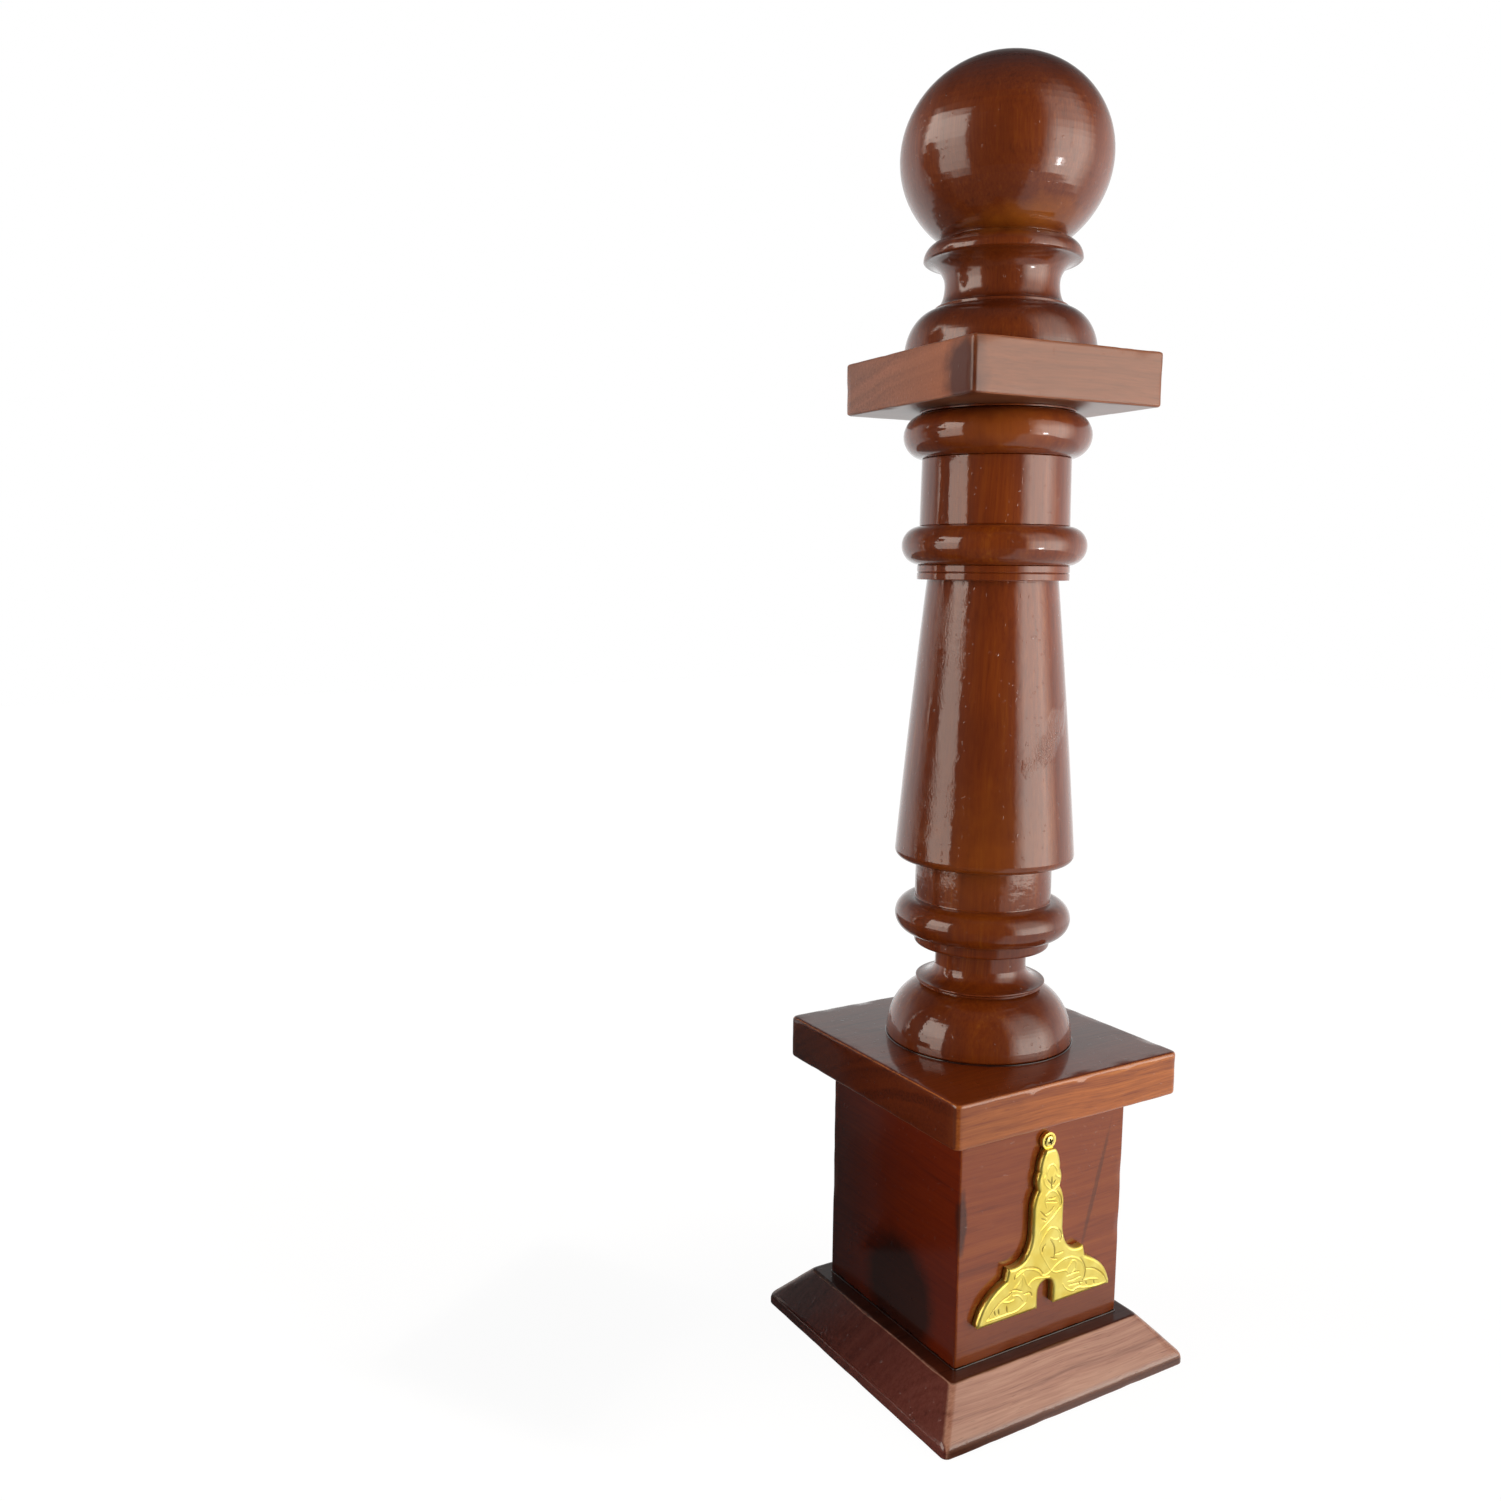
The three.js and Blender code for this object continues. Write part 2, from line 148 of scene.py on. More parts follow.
def makeWorld(look):
    # The windows, the backdrop and the dim room behind the camera light the column and show
    # in the varnish. The camera itself sees plain white.
    world = bpy.data.worlds.new("studio")
    bpy.context.scene.world = world
    world.use_nodes = True
    tree = world.node_tree
    tree.nodes.clear()
    way = addNode(tree, "ShaderNodeTexCoord").outputs["Generated"]
    ahead = addNode(tree, "ShaderNodeVectorMath", {0: way, 1: towards(0)},
                    operation="DOT_PRODUCT").outputs["Value"]
    beside = addNode(tree, "ShaderNodeVectorMath", {0: way, 1: towards(90)},
                     operation="DOT_PRODUCT").outputs["Value"]
    bearing = addNode(tree, "ShaderNodeMath", {0: beside, 1: ahead}, operation="ARCTAN2")
    bearing = addNode(tree, "ShaderNodeMath", {0: bearing, 1: 180 / math.pi}, operation="MULTIPLY")
    up = addNode(tree, "ShaderNodeSeparateXYZ", {"Vector": way}).outputs["Z"]
    clear = 0.0
    for value, (start, end) in ((ahead, look["behind"]), (up, look["ceiling"])):
        share = addNode(tree, "ShaderNodeMapRange", {"Value": value, "From Min": start, "From Max": end})
        clear = addNode(tree, "ShaderNodeMath", {0: clear, 1: share}, operation="MAXIMUM")
    height = addNode(tree, "ShaderNodeMapRange", {"Value": up, "From Min": lowest, "From Max": 1.0})
    backdrop = addNode(tree, "ShaderNodeValToRGB", {"Fac": height}, stops=byHeight(look["backdrop"]))
    backdrop = addNode(tree, "ShaderNodeVectorMath", {0: backdrop, "Scale": look["backdropGlow"]},
                       operation="SCALE")
    light = addNode(tree, "ShaderNodeMix", {"Factor": clear, 6: (*[look["room"]] * 3, 1), 7: backdrop},
                    data_type="RGBA")
    for window in look["windows"].values():
        share = addNode(tree, "ShaderNodeValToRGB", {"Fac": height}, stops=byHeight(window["heights"]))
        for low, high in ((window["from"], window["from"] + window["edge"]),
                          (window["to"], window["to"] - window["fade"])):
            side = addNode(tree, "ShaderNodeMapRange", {
                "Value": bearing, "From Min": low, "From Max": high})
            share = addNode(tree, "ShaderNodeMath", {0: share, 1: side}, operation="MULTIPLY")
        glow = [c * window["glow"] for c in fromHex(window["tint"])[:3]]
        light = addNode(tree, "ShaderNodeVectorMath", {0: share, 1: glow, 2: light},
                        operation="MULTIPLY_ADD")
    sight = addNode(tree, "ShaderNodeLightPath").outputs["Is Camera Ray"]
    seen = addNode(tree, "ShaderNodeMix", {"Factor": sight, 6: light, 7: (1, 1, 1, 1)}, data_type="RGBA")
    ground = addNode(tree, "ShaderNodeBackground", {"Color": seen, "Strength": 1.0})
    addNode(tree, "ShaderNodeOutputWorld", {"Surface": ground})


# The floor is pale to the camera. What the column gets from it is bright on the window's
# side and dim on the other, and ends at the far edge of the table.
floorLook = {
    "size": 6000, "colour": "#585858", "seenGlow": 0.96, "bright": 0.72, "dim": 0.06,
    "toward": 120, "from": -40, "to": 10, "tableEdge": 850, "edgeFade": 60,
}


def makeFloor(look):
    half = look["size"] / 2 * mm
    mesh = bpy.data.meshes.new("floor")
    corners = [(-half, -half, 0), (half, -half, 0), (half, half, 0), (-half, half, 0)]
    mesh.from_pydata(corners, [], [(0, 1, 2, 3)])
    material, tree, place = newMaterial("matt_studio_paper")
    side = addNode(tree, "ShaderNodeVectorMath", {0: place, 1: towards(look["toward"])},
                   operation="DOT_PRODUCT").outputs["Value"]
    given = addNode(tree, "ShaderNodeMapRange", {
        "Value": side, "From Min": look["from"] * mm, "From Max": look["to"] * mm,
        "To Min": look["dim"], "To Max": look["bright"]})
    away = addNode(tree, "ShaderNodeVectorMath", {0: place}, operation="LENGTH").outputs["Value"]
    edge = look["tableEdge"]
    beyond = addNode(tree, "ShaderNodeMapRange", {
        "Value": away, "From Min": edge * mm, "From Max": (edge + look["edgeFade"]) * mm})
    sight = addNode(tree, "ShaderNodeLightPath").outputs["Is Camera Ray"]
    glow = addNode(tree, "ShaderNodeMix", {"Factor": sight, "A": given, "B": look["seenGlow"]})
    unseen = addNode(tree, "ShaderNodeMath", {0: 1.0, 1: sight}, operation="SUBTRACT")
    past = addNode(tree, "ShaderNodeMath", {0: beyond, 1: unseen}, operation="MULTIPLY")
    paper = addNode(tree, "ShaderNodeBsdfPrincipled", {
        "Base Color": fromHex(look["colour"]), "Roughness": 0.9, "Specular IOR Level": 0.0,
        "Emission Color": fromHex("#ffffff"), "Emission Strength": glow})
    nothing = addNode(tree, "ShaderNodeBsdfTransparent")
    shader = addNode(tree, "ShaderNodeMixShader", {0: past, 1: paper, 2: nothing})
    addNode(tree, "ShaderNodeOutputMaterial", {"Surface": shader})
    mesh.materials.append(material)
    addObject("floor", mesh)


# A dark stand of the same shape as the column, where its twin stood. The camera doesn't see
# it, but it shades the left faces and shows in their gloss.
flagLook = {
    "x": -158, "y": 86.5, "turn": -58, "colour": "#3a1408",
    # sides, lower and upper half width, foot and top
    "parts": [(4, 60, 48.4, 8, 19), (4, 42.3, 42.3, 19, 114), (4, 56, 56, 114, 132),
              (24, 37, 25, 132, 154), (24, 22, 34, 154, 176), (24, 34, 27, 176, 221),
              (24, 35, 26, 221, 331), (24, 34, 34, 331, 352), (24, 29, 29, 352, 378),
              (4, 43, 43, 380, 401), (24, 36, 22, 401, 425), (24, 26, 39, 425, 470),
              (24, 39, 12, 470, 510)],
}


def makeFlag(look):
    work = bmesh.new()
    for sides, low, high, foot, top in look["parts"]:
        corner = math.sqrt(2) if sides == 4 else 1.0
        place = Matrix.Translation((0, 0, (foot + top) / 2 * mm))
        bmesh.ops.create_cone(work, cap_ends=True, segments=sides, radius1=low * corner * mm,
                              radius2=high * corner * mm, depth=(top - foot) * mm,
                              matrix=place @ Matrix.Rotation(math.pi / sides, 4, "Z"))
    mesh = bpy.data.meshes.new("dark_flag")
    work.to_mesh(mesh)
    work.free()
    material, tree, _ = newMaterial("dark_flag_cloth")
    shader = addNode(tree, "ShaderNodeBsdfPrincipled", {"Base Color": fromHex(look["colour"])})
    addNode(tree, "ShaderNodeOutputMaterial", {"Surface": shader})
    mesh.materials.append(material)
    flag = addObject("dark_flag", mesh)
    flag.location = (look["x"] * mm, look["y"] * mm, 0)
    flag.rotation_euler = (0, 0, math.radians(look["turn"]))
    flag.visible_camera = False


makeWorld(studio)
makeFloor(floorLook)
makeFlag(flagLook)
print("studio and camera set")


def makeWood(look):
    # Red-stained softwood under many coats of gloss varnish. Object coordinates are turned so
    # that the grain runs along Z, then cut up into growth rings, fibre streaks and pores.
    material, tree, place = newMaterial(look["name"])
    if look["grain"] == "around":
        # boards laid round a box: the grain runs level along every face, and the left and right
        # ones are cut from another stretch of the wood
        normal = addNode(tree, "ShaderNodeNewGeometry").outputs["Normal"]
        side = addNode(tree, "ShaderNodeSeparateXYZ", {"Vector": normal}).outputs["X"]
        side = addNode(tree, "ShaderNodeMath", {0: side}, operation="ABSOLUTE")
        side = addNode(tree, "ShaderNodeMath", {0: side, 1: 0.7}, operation="GREATER_THAN")
        ahead = addNode(tree, "ShaderNodeMapping", {"Vector": place, "Rotation": (0, math.pi / 2, 0)})
        beside = addNode(tree, "ShaderNodeMapping", {
            "Vector": place, "Rotation": (math.pi / 2, 0, 0), "Location": (0.3, 0.1, 0.2)})
        local = addNode(tree, "ShaderNodeMix", {"Factor": side, 4: ahead, 5: beside}, data_type="VECTOR")
    else:
        turn = {"up": (0, 0, 0), "along": (0, math.pi / 2, 0)}[look["grain"]]
        local = addNode(tree, "ShaderNodeMapping", {"Vector": place, "Rotation": turn})
    local = addNode(tree, "ShaderNodeVectorMath", {0: local, 1: look["pith"]}, operation="ADD")

    # each cloud: where it lies, the size of its features across and along the grain, detail
    streak, patch, marks = look["streak"], look["patch"], look["marks"]
    clouds = {
        "drift": ("local", 26, 70, 1), "streaks": ("wavy", streak, streak * 45, 3),
        "fibres": ("wavy", 0.6, 16, 2), "pores": ("wavy", 0.45, 7, 1),
        "patches": ("local", patch, patch * 2.2, 2), "wobble": ("place", 9, 9, 2),
        "brush": ("place", 7, 7, 2), "marks": ("place", marks[0], marks[1], 2),
        "nibs": ("place", 1.6, 1.6, 0), "ripples": ("place", 2.6, 2.6, 3),
        "scratches": ("place", 0.8, 1.8, 3),
    }
    ways = {"place": place, "local": local}
    for name, (way, across, along, detail) in clouds.items():
        size = (1 / (across * mm), 1 / (across * mm), 1 / (along * mm))
        scaled = addNode(tree, "ShaderNodeVectorMath", {0: ways[way], 1: size}, operation="MULTIPLY")
        cloud = addNode(tree, "ShaderNodeTexNoise", {
            "Vector": scaled, "Scale": 1.0, "Detail": detail, "Roughness": 0.55})
        clouds[name] = cloud.outputs["Fac"]
        if name in ("drift", "wobble"):
            away = addNode(tree, "ShaderNodeVectorMath", {0: cloud.outputs["Color"], 1: (0.5, 0.5, 0.5)},
                           operation="SUBTRACT")
            clouds[name] = away
        if name == "drift":
            drift = addNode(tree, "ShaderNodeVectorMath", {0: away, "Scale": look["waver"] * mm},
                            operation="SCALE")
            ways["wavy"] = addNode(tree, "ShaderNodeVectorMath", {0: local, 1: drift}, operation="ADD")

    # growth rings: bands of uneven width round the pith, mixed with streaks and fibres
    parts = addNode(tree, "ShaderNodeSeparateXYZ", {"Vector": ways["wavy"]})
    level = addNode(tree, "ShaderNodeCombineXYZ", {"X": parts.outputs["X"], "Y": parts.outputs["Y"]})
    reach = addNode(tree, "ShaderNodeVectorMath", {0: level}, operation="LENGTH").outputs["Value"]
    reach = addNode(tree, "ShaderNodeMath", {0: reach, 1: 1 / (look["ring"] * mm)}, operation="MULTIPLY")
    rings = addNode(tree, "ShaderNodeTexNoise", {"W": reach, "Scale": 1.0, "Detail": 2.0},
                    noise_dimensions="1D").outputs["Fac"]
    ringShare, streakShare = look["ringShare"], look["streakShare"]
    tone = 0.0
    for cloud, share in ((rings, ringShare), (clouds["streaks"], streakShare),
                         (clouds["fibres"], 1 - ringShare - streakShare)):
        tone = addNode(tree, "ShaderNodeMath", {0: cloud, 1: share, 2: tone}, operation="MULTIPLY_ADD")
    colour = addNode(tree, "ShaderNodeValToRGB", {"Fac": tone}, stops=[
        (0.34, look["dark"]), (0.46, look["mid"]), (0.56, look["body"]), (0.68, look["light"])])

    # stain that took unevenly, and short dark pores along the grain
    for cloud, stops, depth, tint in (
            ("patches", [(0.36, 0.0), (0.64, 1.0)], look["patchDepth"], "deep"),
            ("pores", [(0.66, 0.0), (0.74, 1.0)], look["poreDepth"], "dark")):
        share = addNode(tree, "ShaderNodeValToRGB", {"Fac": clouds[cloud]}, stops=stops)
        share = addNode(tree, "ShaderNodeMath", {0: share, 1: depth}, operation="MULTIPLY")
        colour = addNode(tree, "ShaderNodeMix", {"Factor": share, 6: colour, 7: fromHex(look[tint])},
                         data_type="RGBA")

    # painted shade: faces darkened by which way they face
    facing = addNode(tree, "ShaderNodeNewGeometry").outputs["Normal"]
    for shade in look.get("paintedShades", []):
        share = addNode(tree, "ShaderNodeVectorMath", {0: facing, 1: shade["toward"]},
                        operation="DOT_PRODUCT").outputs["Value"]
        share = addNode(tree, "ShaderNodeMapRange", {
            "Value": share, "From Min": shade["from"], "From Max": shade["to"]})
        colour = addNode(tree, "ShaderNodeMix", {
            "Factor": share, 6: colour, 7: fromHex(shade["colour"])},
            data_type="RGBA", blend_type="MULTIPLY")

    # spots: ovals with soft edges, at places on the piece, for knots, worn arrises, painted light and
    # painted shade; a scuffed one also has its varnish scratched
    skin = 0.0
    for spot in look.get("spots", []):
        size = [1 / (s * mm) for s in spot["size"]]
        away = addNode(tree, "ShaderNodeVectorMath", {0: place, 1: Vector(spot["at"]) * mm},
                       operation="SUBTRACT")
        away = addNode(tree, "ShaderNodeVectorRotate", {
            "Vector": away, "Angle": math.radians(spot.get("lean", 0))}, rotation_type="Y_AXIS")
        away = addNode(tree, "ShaderNodeVectorMath", {0: away, 1: size}, operation="MULTIPLY")
        wobble = addNode(tree, "ShaderNodeVectorMath", {0: clouds["wobble"], "Scale": spot["ragged"]},
                         operation="SCALE")
        away = addNode(tree, "ShaderNodeVectorMath", {0: away, 1: wobble}, operation="ADD")
        away = addNode(tree, "ShaderNodeVectorMath", {0: away}, operation="LENGTH").outputs["Value"]
        share = addNode(tree, "ShaderNodeMapRange", {
            "Value": away, "From Min": 1 + spot["soft"], "From Max": 1 - spot["soft"],
            "To Max": spot["depth"]})
        colour = addNode(tree, "ShaderNodeMix", {
            "Factor": share, 6: colour, 7: fromHex(spot["colour"])}, data_type="RGBA")
        if "scuff" in spot:
            share = addNode(tree, "ShaderNodeMath", {0: share, 1: spot["scuff"]}, operation="MULTIPLY")
            skin = addNode(tree, "ShaderNodeMath", {0: clouds["scratches"], 1: share, 2: skin},
                           operation="MULTIPLY_ADD")

    # varnish: slow brush waves, small ripples, fine marks across the grain and a few dust nibs
    nibs = addNode(tree, "ShaderNodeValToRGB", {"Fac": clouds["nibs"]}, stops=[(0.76, 0.0), (0.82, 1.0)])
    for cloud, depth in ((clouds["marks"], look["markDepth"]), (clouds["brush"], look["brushDepth"]),
                         (clouds["ripples"], look["rippleDepth"]), (nibs, look["nibDepth"])):
        skin = addNode(tree, "ShaderNodeMath", {0: cloud, 1: depth, 2: skin}, operation="MULTIPLY_ADD")
    coatBump = addNode(tree, "ShaderNodeBump", {"Height": skin, "Strength": 1.0, "Distance": 1 * mm})
    grainBump = addNode(tree, "ShaderNodeBump", {
        "Height": clouds["fibres"], "Strength": 0.35, "Distance": look["grainDepth"] * mm})
    shader = addNode(tree, "ShaderNodeBsdfPrincipled", {
        "Base Color": colour, "Roughness": look["roughness"], "IOR": look["ior"],
        "Specular IOR Level": look["shine"], "Coat Weight": look["coat"],
        "Coat Roughness": look["gloss"], "Coat IOR": look["ior"],
        "Normal": grainBump, "Coat Normal": coatBump})
    addNode(tree, "ShaderNodeOutputMaterial", {"Surface": shader})
    return material


# Many coats of varnish over wood that hardly shines by itself
varnishLook = {
    "roughness": 0.45, "shine": 0.1, "coat": 1.0, "ior": 1.5, "grainDepth": 0.05,
    "marks": (3, 3), "markDepth": 0.004, "brushDepth": 0.05, "rippleDepth": 0.02, "nibDepth": 0.06,
}
# Turned mahogany-red pine under thick gloss varnish: clear mirror reflections, broken by
# fine turning marks, over a warm amber body.
turnedWoodLook = {
    **varnishLook, "name": "varnished_turned_wood", "grain": "up", "pith": (0.021, 0.034, 0.0),
    "dark": "#5c2608", "mid": "#73300a", "body": "#7f3a0c", "light": "#904c11", "deep": "#5e250a",
    "ring": 5.5, "ringShare": 0.42, "streak": 1.5, "streakShare": 0.36, "waver": 7,
    "patch": 30, "patchDepth": 0.7, "poreDepth": 0.6,
    # a lighter amber glow of painted light on the top torus under the abacus, a lighter amber patch low
    # on the shaft, and three scuffed stretches
    "spots": [
        # painted light: amber glow from below on the top torus
        {"at": (-21, -30, 374), "size": (19, 18, 8), "ragged": 2.0, "soft": 0.6, "depth": 0.45,
         "colour": "#a0541c"},
        {"at": (-16, -19, 214), "size": (18, 18, 20), "ragged": 2.0, "soft": 0.8, "depth": 0.4,
         "colour": "#9c5214"},
        {"at": (3, -25, 257), "size": (15, 9, 5), "lean": 45, "ragged": 1.4, "soft": 0.4, "depth": 0.4,
         "colour": "#7c3c12", "scuff": 2.4},
        {"at": (-20, -4, 290), "size": (9, 9, 22), "ragged": 1.6, "soft": 0.6, "depth": 0.3,
         "colour": "#7c3a10", "scuff": 0.9},
        {"at": (-25, -5, 232), "size": (9, 9, 26), "ragged": 1.6, "soft": 0.6, "depth": 0.3,
         "colour": "#7c3a10", "scuff": 0.8},
    ],
    "marks": (16, 0.9), "markDepth": 0.01, "brushDepth": 0.08, "rippleDepth": 0.032, "gloss": 0.06,
}
# The finial's varnish is a little duller, so that the windows are soft-edged in it. Painted shade darkens
# the top of the ball, and a lighter amber patch at its foot is painted light from below.
finialWoodLook = {
    **turnedWoodLook, "name": "varnished_finial_wood", "gloss": 0.12, "ringShare": 0.2,
    "dark": "#552408", "mid": "#6a2d0b", "body": "#74340d", "light": "#844212", "deep": "#5a240a",
    # painted shade: the top of the ball darkened
    "paintedShades": [{"toward": (0, 0, 1), "from": 0.25, "to": 0.8, "colour": "#a89088"}],
    "spots": [
        # painted light from below: a lighter amber patch at the ball's foot
        {"at": (-8, -25, 448.5), "size": (17, 15, 4.5), "lean": 3, "ragged": 2.2, "soft": 0.7,
         "depth": 0.55, "colour": "#a05a18"},
    ],
}
# Flat boards of the same wood, lighter and more orange on the edges: long straight grain along X, and
# painted shade on the tops and on the left.
boardWoodLook = {
    **varnishLook, "name": "varnished_board_wood", "grain": "along", "pith": (0.012, 0.058, 0.0),
    "dark": "#803a14", "mid": "#a65a22", "body": "#bc6a2a", "light": "#cc7c36", "deep": "#a45020",
    "ring": 4.2, "ringShare": 0.34, "streak": 1.1, "streakShare": 0.36, "waver": 5,
    "patch": 34, "patchDepth": 0.4, "poreDepth": 0.5,
    # painted shade: darker tops and left faces
    "paintedShades": [{"toward": (0, 0, 1), "from": 0.74, "to": 0.9, "colour": "#a07a50"},
               {"toward": (-1, 0, 0), "from": 0.74, "to": 0.9, "colour": "#876755"}],
    "spots": [
        {"at": (-46, -56, 124), "size": (28, 4, 16), "ragged": 0.8, "soft": 0.7, "depth": 0.4,
         "colour": "#7a3c18"},
    ],
    "gloss": 0.09,
}
# The plinth's moulding: its stain is paler and pinker to paint in the light that comes pink off its front
# slope, and painted shade makes its flat margin and its left slope nearly black and darkens its front
# lip.
plinthWoodLook = {
    **boardWoodLook, "name": "varnished_plinth_wood", "streak": 1.5, "poreDepth": 0.55,
    # the plinth's stain, made paler and pinker as painted light for the sheen off the front slope
    "dark": "#8c5c4a", "mid": "#b6806a", "body": "#c8967e", "light": "#d4a48c", "deep": "#b07c68",
    # painted shade: the flat margin, the left slope and the front lip darkened
    "paintedShades": [{"toward": (0, 0, 1), "from": 0.8, "to": 0.95, "colour": "#6a442e"},
               {"toward": (-1, 0, 0), "from": 0.55, "to": 0.7, "colour": "#946868"},
               {"toward": (0, -1, 0), "from": 0.76, "to": 1.0, "colour": "#7c6048"}],
    "spots": [], "gloss": 0.12,
}
# The abacus: the same board with a thinner, scratched and browner finish, and painted shade on its front
# and its underside.
abacusWoodLook = {
    **boardWoodLook, "name": "varnished_abacus_wood", "dark": "#84482c", "mid": "#9a5a38",
    "body": "#a86340", "light": "#b46e48", "deep": "#90522f", "patchDepth": 0.6, "poreDepth": 0.4,
    # painted shade: front face and underside darkened
    "paintedShades": [{"toward": (0, -1, 0), "from": 0.74, "to": 0.9, "colour": "#ccc8b8"},
               {"toward": (0, 0, -1), "from": 0.74, "to": 0.9, "colour": "#c0c6d2"}],
    "spots": [
        {"at": (-46, -34, 391), "size": (6, 10, 14), "ragged": 0.9, "soft": 0.35, "depth": 0.95,
         "colour": "#481a06"},
    ],
    "gloss": 0.28, "coat": 0.75, "marks": (1.2, 14), "markDepth": 0.008,
}
# The die's boards: level grain on every face, redder stain, painted shade on the left face and along the
# foot of the front, one large knot, a rubbed arris and a faint check that leans across the front.
dieWoodLook = {
    **varnishLook, "name": "varnished_die_wood", "grain": "around", "pith": (0.03, 0.075, 0.0),
    "dark": "#72300e", "mid": "#8c4014", "body": "#964918", "light": "#a1541d", "deep": "#823712",
    "ring": 6.5, "ringShare": 0.3, "streak": 1.6, "streakShare": 0.4, "waver": 6,
    "patch": 38, "patchDepth": 0.4, "poreDepth": 0.3,
    # painted shade: the left face darkened
    "paintedShades": [{"toward": (-1, 0, 0), "from": 0.74, "to": 0.9, "colour": "#bc8438"}],
    "spots": [
        # painted shade: the front darkened along its foot
        {"at": (14, -42.2, 22), "size": (62, 4, 13), "ragged": 0.6, "soft": 0.6, "depth": 0.5,
         "colour": "#5e280e"},
        {"at": (-42.2, -6, 33), "size": (12, 21, 24), "ragged": 0.3, "soft": 0.2, "depth": 0.85,
         "colour": "#210c06"},
        {"at": (-40.9, -42.6, 78), "size": (2.4, 3, 13), "ragged": 0.9, "soft": 0.2, "depth": 0.75,
         "colour": "#3a1a12"},
        {"at": (27.8, -42.2, 76), "size": (1.1, 4, 26), "lean": -15, "ragged": 0.6, "soft": 0.3,
         "depth": 0.5, "colour": "#4a2412"},
    ],
    "gloss": 0.1,
}


def makeBrass(look):
    # Cast brass, gilt and hand polished: a broad soft shine over a faintly grainy skin. What is
    # cut into it holds dull dark dirt.
    material, tree, place = newMaterial(look["name"])
    skin = addNode(tree, "ShaderNodeTexNoise", {
        "Vector": place, "Scale": 1 / (look["grit"] * mm), "Detail": 3.0})
    tone = addNode(tree, "ShaderNodeTexNoise", {"Vector": place, "Scale": 1 / (6 * mm), "Detail": 2.0})
    colour = addNode(tree, "ShaderNodeValToRGB", {"Fac": tone}, stops=[
        (0.35, look["low"]), (0.65, look["high"])])
    cut = addNode(tree, "ShaderNodeAttribute", attribute_name="cut").outputs["Fac"]
    colour = addNode(tree, "ShaderNodeMix", {"Factor": cut, 6: colour, 7: fromHex(look["patina"])},
                     data_type="RGBA")
    bare = addNode(tree, "ShaderNodeMath", {0: 1.0, 1: cut}, operation="SUBTRACT")
    bump = addNode(tree, "ShaderNodeBump", {
        "Height": skin, "Strength": 0.6, "Distance": look["gritDepth"] * mm})
    shader = addNode(tree, "ShaderNodeBsdfPrincipled", {
        "Base Color": colour, "Metallic": bare, "Roughness": look["roughness"], "Normal": bump})
    addNode(tree, "ShaderNodeOutputMaterial", {"Surface": shader})
    return material


giltBrassLook = {"name": "gilt_cast_brass", "low": "#efd866", "high": "#fae980", "patina": "#8a6a18",
                 "grit": 0.5, "gritDepth": 0.02, "roughness": 0.42}
screwBrassLook = {"name": "bright_screw_brass", "low": "#d9c260", "high": "#eedd84", "patina": "#1c1206",
                  "grit": 0.4, "gritDepth": 0.02, "roughness": 0.24}

turnedWood, finialWood = makeWood(turnedWoodLook), makeWood(finialWoodLook)
boardWood, abacusWood = makeWood(boardWoodLook), makeWood(abacusWoodLook)
plinthWood, dieWood = makeWood(plinthWoodLook), makeWood(dieWoodLook)
giltBrass, screwBrass = makeBrass(giltBrassLook), makeBrass(screwBrassLook)
print("materials made")


# Domes stop this far round, in degrees, and a flat closes them on the axis.
nearPole = 88


# Outlines: half of a cut through a turned or a square piece, from the foot upwards
class Outline:
    def __init__(self, start=0.0):
        self.points = [(start, 0.0, 0.0)]  # radius, height, how far the edge is rounded
        self.height = 0.0

    def to(self, radius, rise=0.0, ease=0.3):
        self.height += rise
        self.points.append((radius, self.height, ease))
        return self

    def arc(self, centreRadius, centreHeight, halfWidth, halfHeight, start, end):
        steps = max(8, round(abs(end - start) / 4))
        for step in range(steps + 1):
            angle = math.radians(start + (end - start) * step / steps)
            self.height = centreHeight + halfHeight * math.sin(angle)
            ease = 0.25 if step in (0, steps) else 0.0
            self.points.append((centreRadius + halfWidth * math.cos(angle), self.height, ease))
        return self

    def torus(self, radius, tube):
        return self.arc(radius - tube, self.height + tube, tube, tube, -90, 90)

    def dome(self, radius, height, start):
        self.arc(0, self.height, radius, height, start, nearPole)
        return self.to(0, height * (1 - math.sin(math.radians(nearPole))), 0)

    def finished(self, longest, endGap=0.3, leastCut=0.02):
        # Rounds the edges, then splits the straights, with a point close to each end so that
        # smooth shading bends only there. A tube's outline ends where it began.
        path = [Vector(p[:2]) for p in self.points]
        path.append(path[0].copy() if path[0].x else Vector((0.0, self.height)))
        eases = [p[2] for p in self.points] + [0.0]
        rounded = [path[0]]
        for i in range(1, len(path) - 1):
            before, here, after = path[i - 1], path[i], path[i + 1]
            cut = min(eases[i], 0.45 * (here - before).length, 0.45 * (after - here).length)
            if cut < leastCut:
                rounded.append(here)
                continue
            start = here + (before - here).normalized() * cut
            end = here + (after - here).normalized() * cut
            for share in (0, 0.25, 0.5, 0.75, 1):
                rounded.append(start.lerp(here, share).lerp(here.lerp(end, share), share))
        rounded.append(path[-1])
        split = [rounded[0]]
        for here in rounded[1:]:
            before = split[-1]
            length = (here - before).length
            if length < 1e-4:
                continue
            if length > 4 * endGap:
                near = endGap / length
                count = max(1, math.ceil((length - 2 * endGap) / longest))
                split += [before.lerp(here, near + (1 - 2 * near) * k / count) for k in range(count + 1)]
            split.append(here)
        return split


def makePiece(name, mesh, node):
    piece = addObject(name, mesh)
    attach(piece, "root")
    if node:
        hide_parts(node)
    print(name, "made:", len(mesh.polygons), "faces")
    return piece


seam = 2e-6  # metres: points closer than this are one


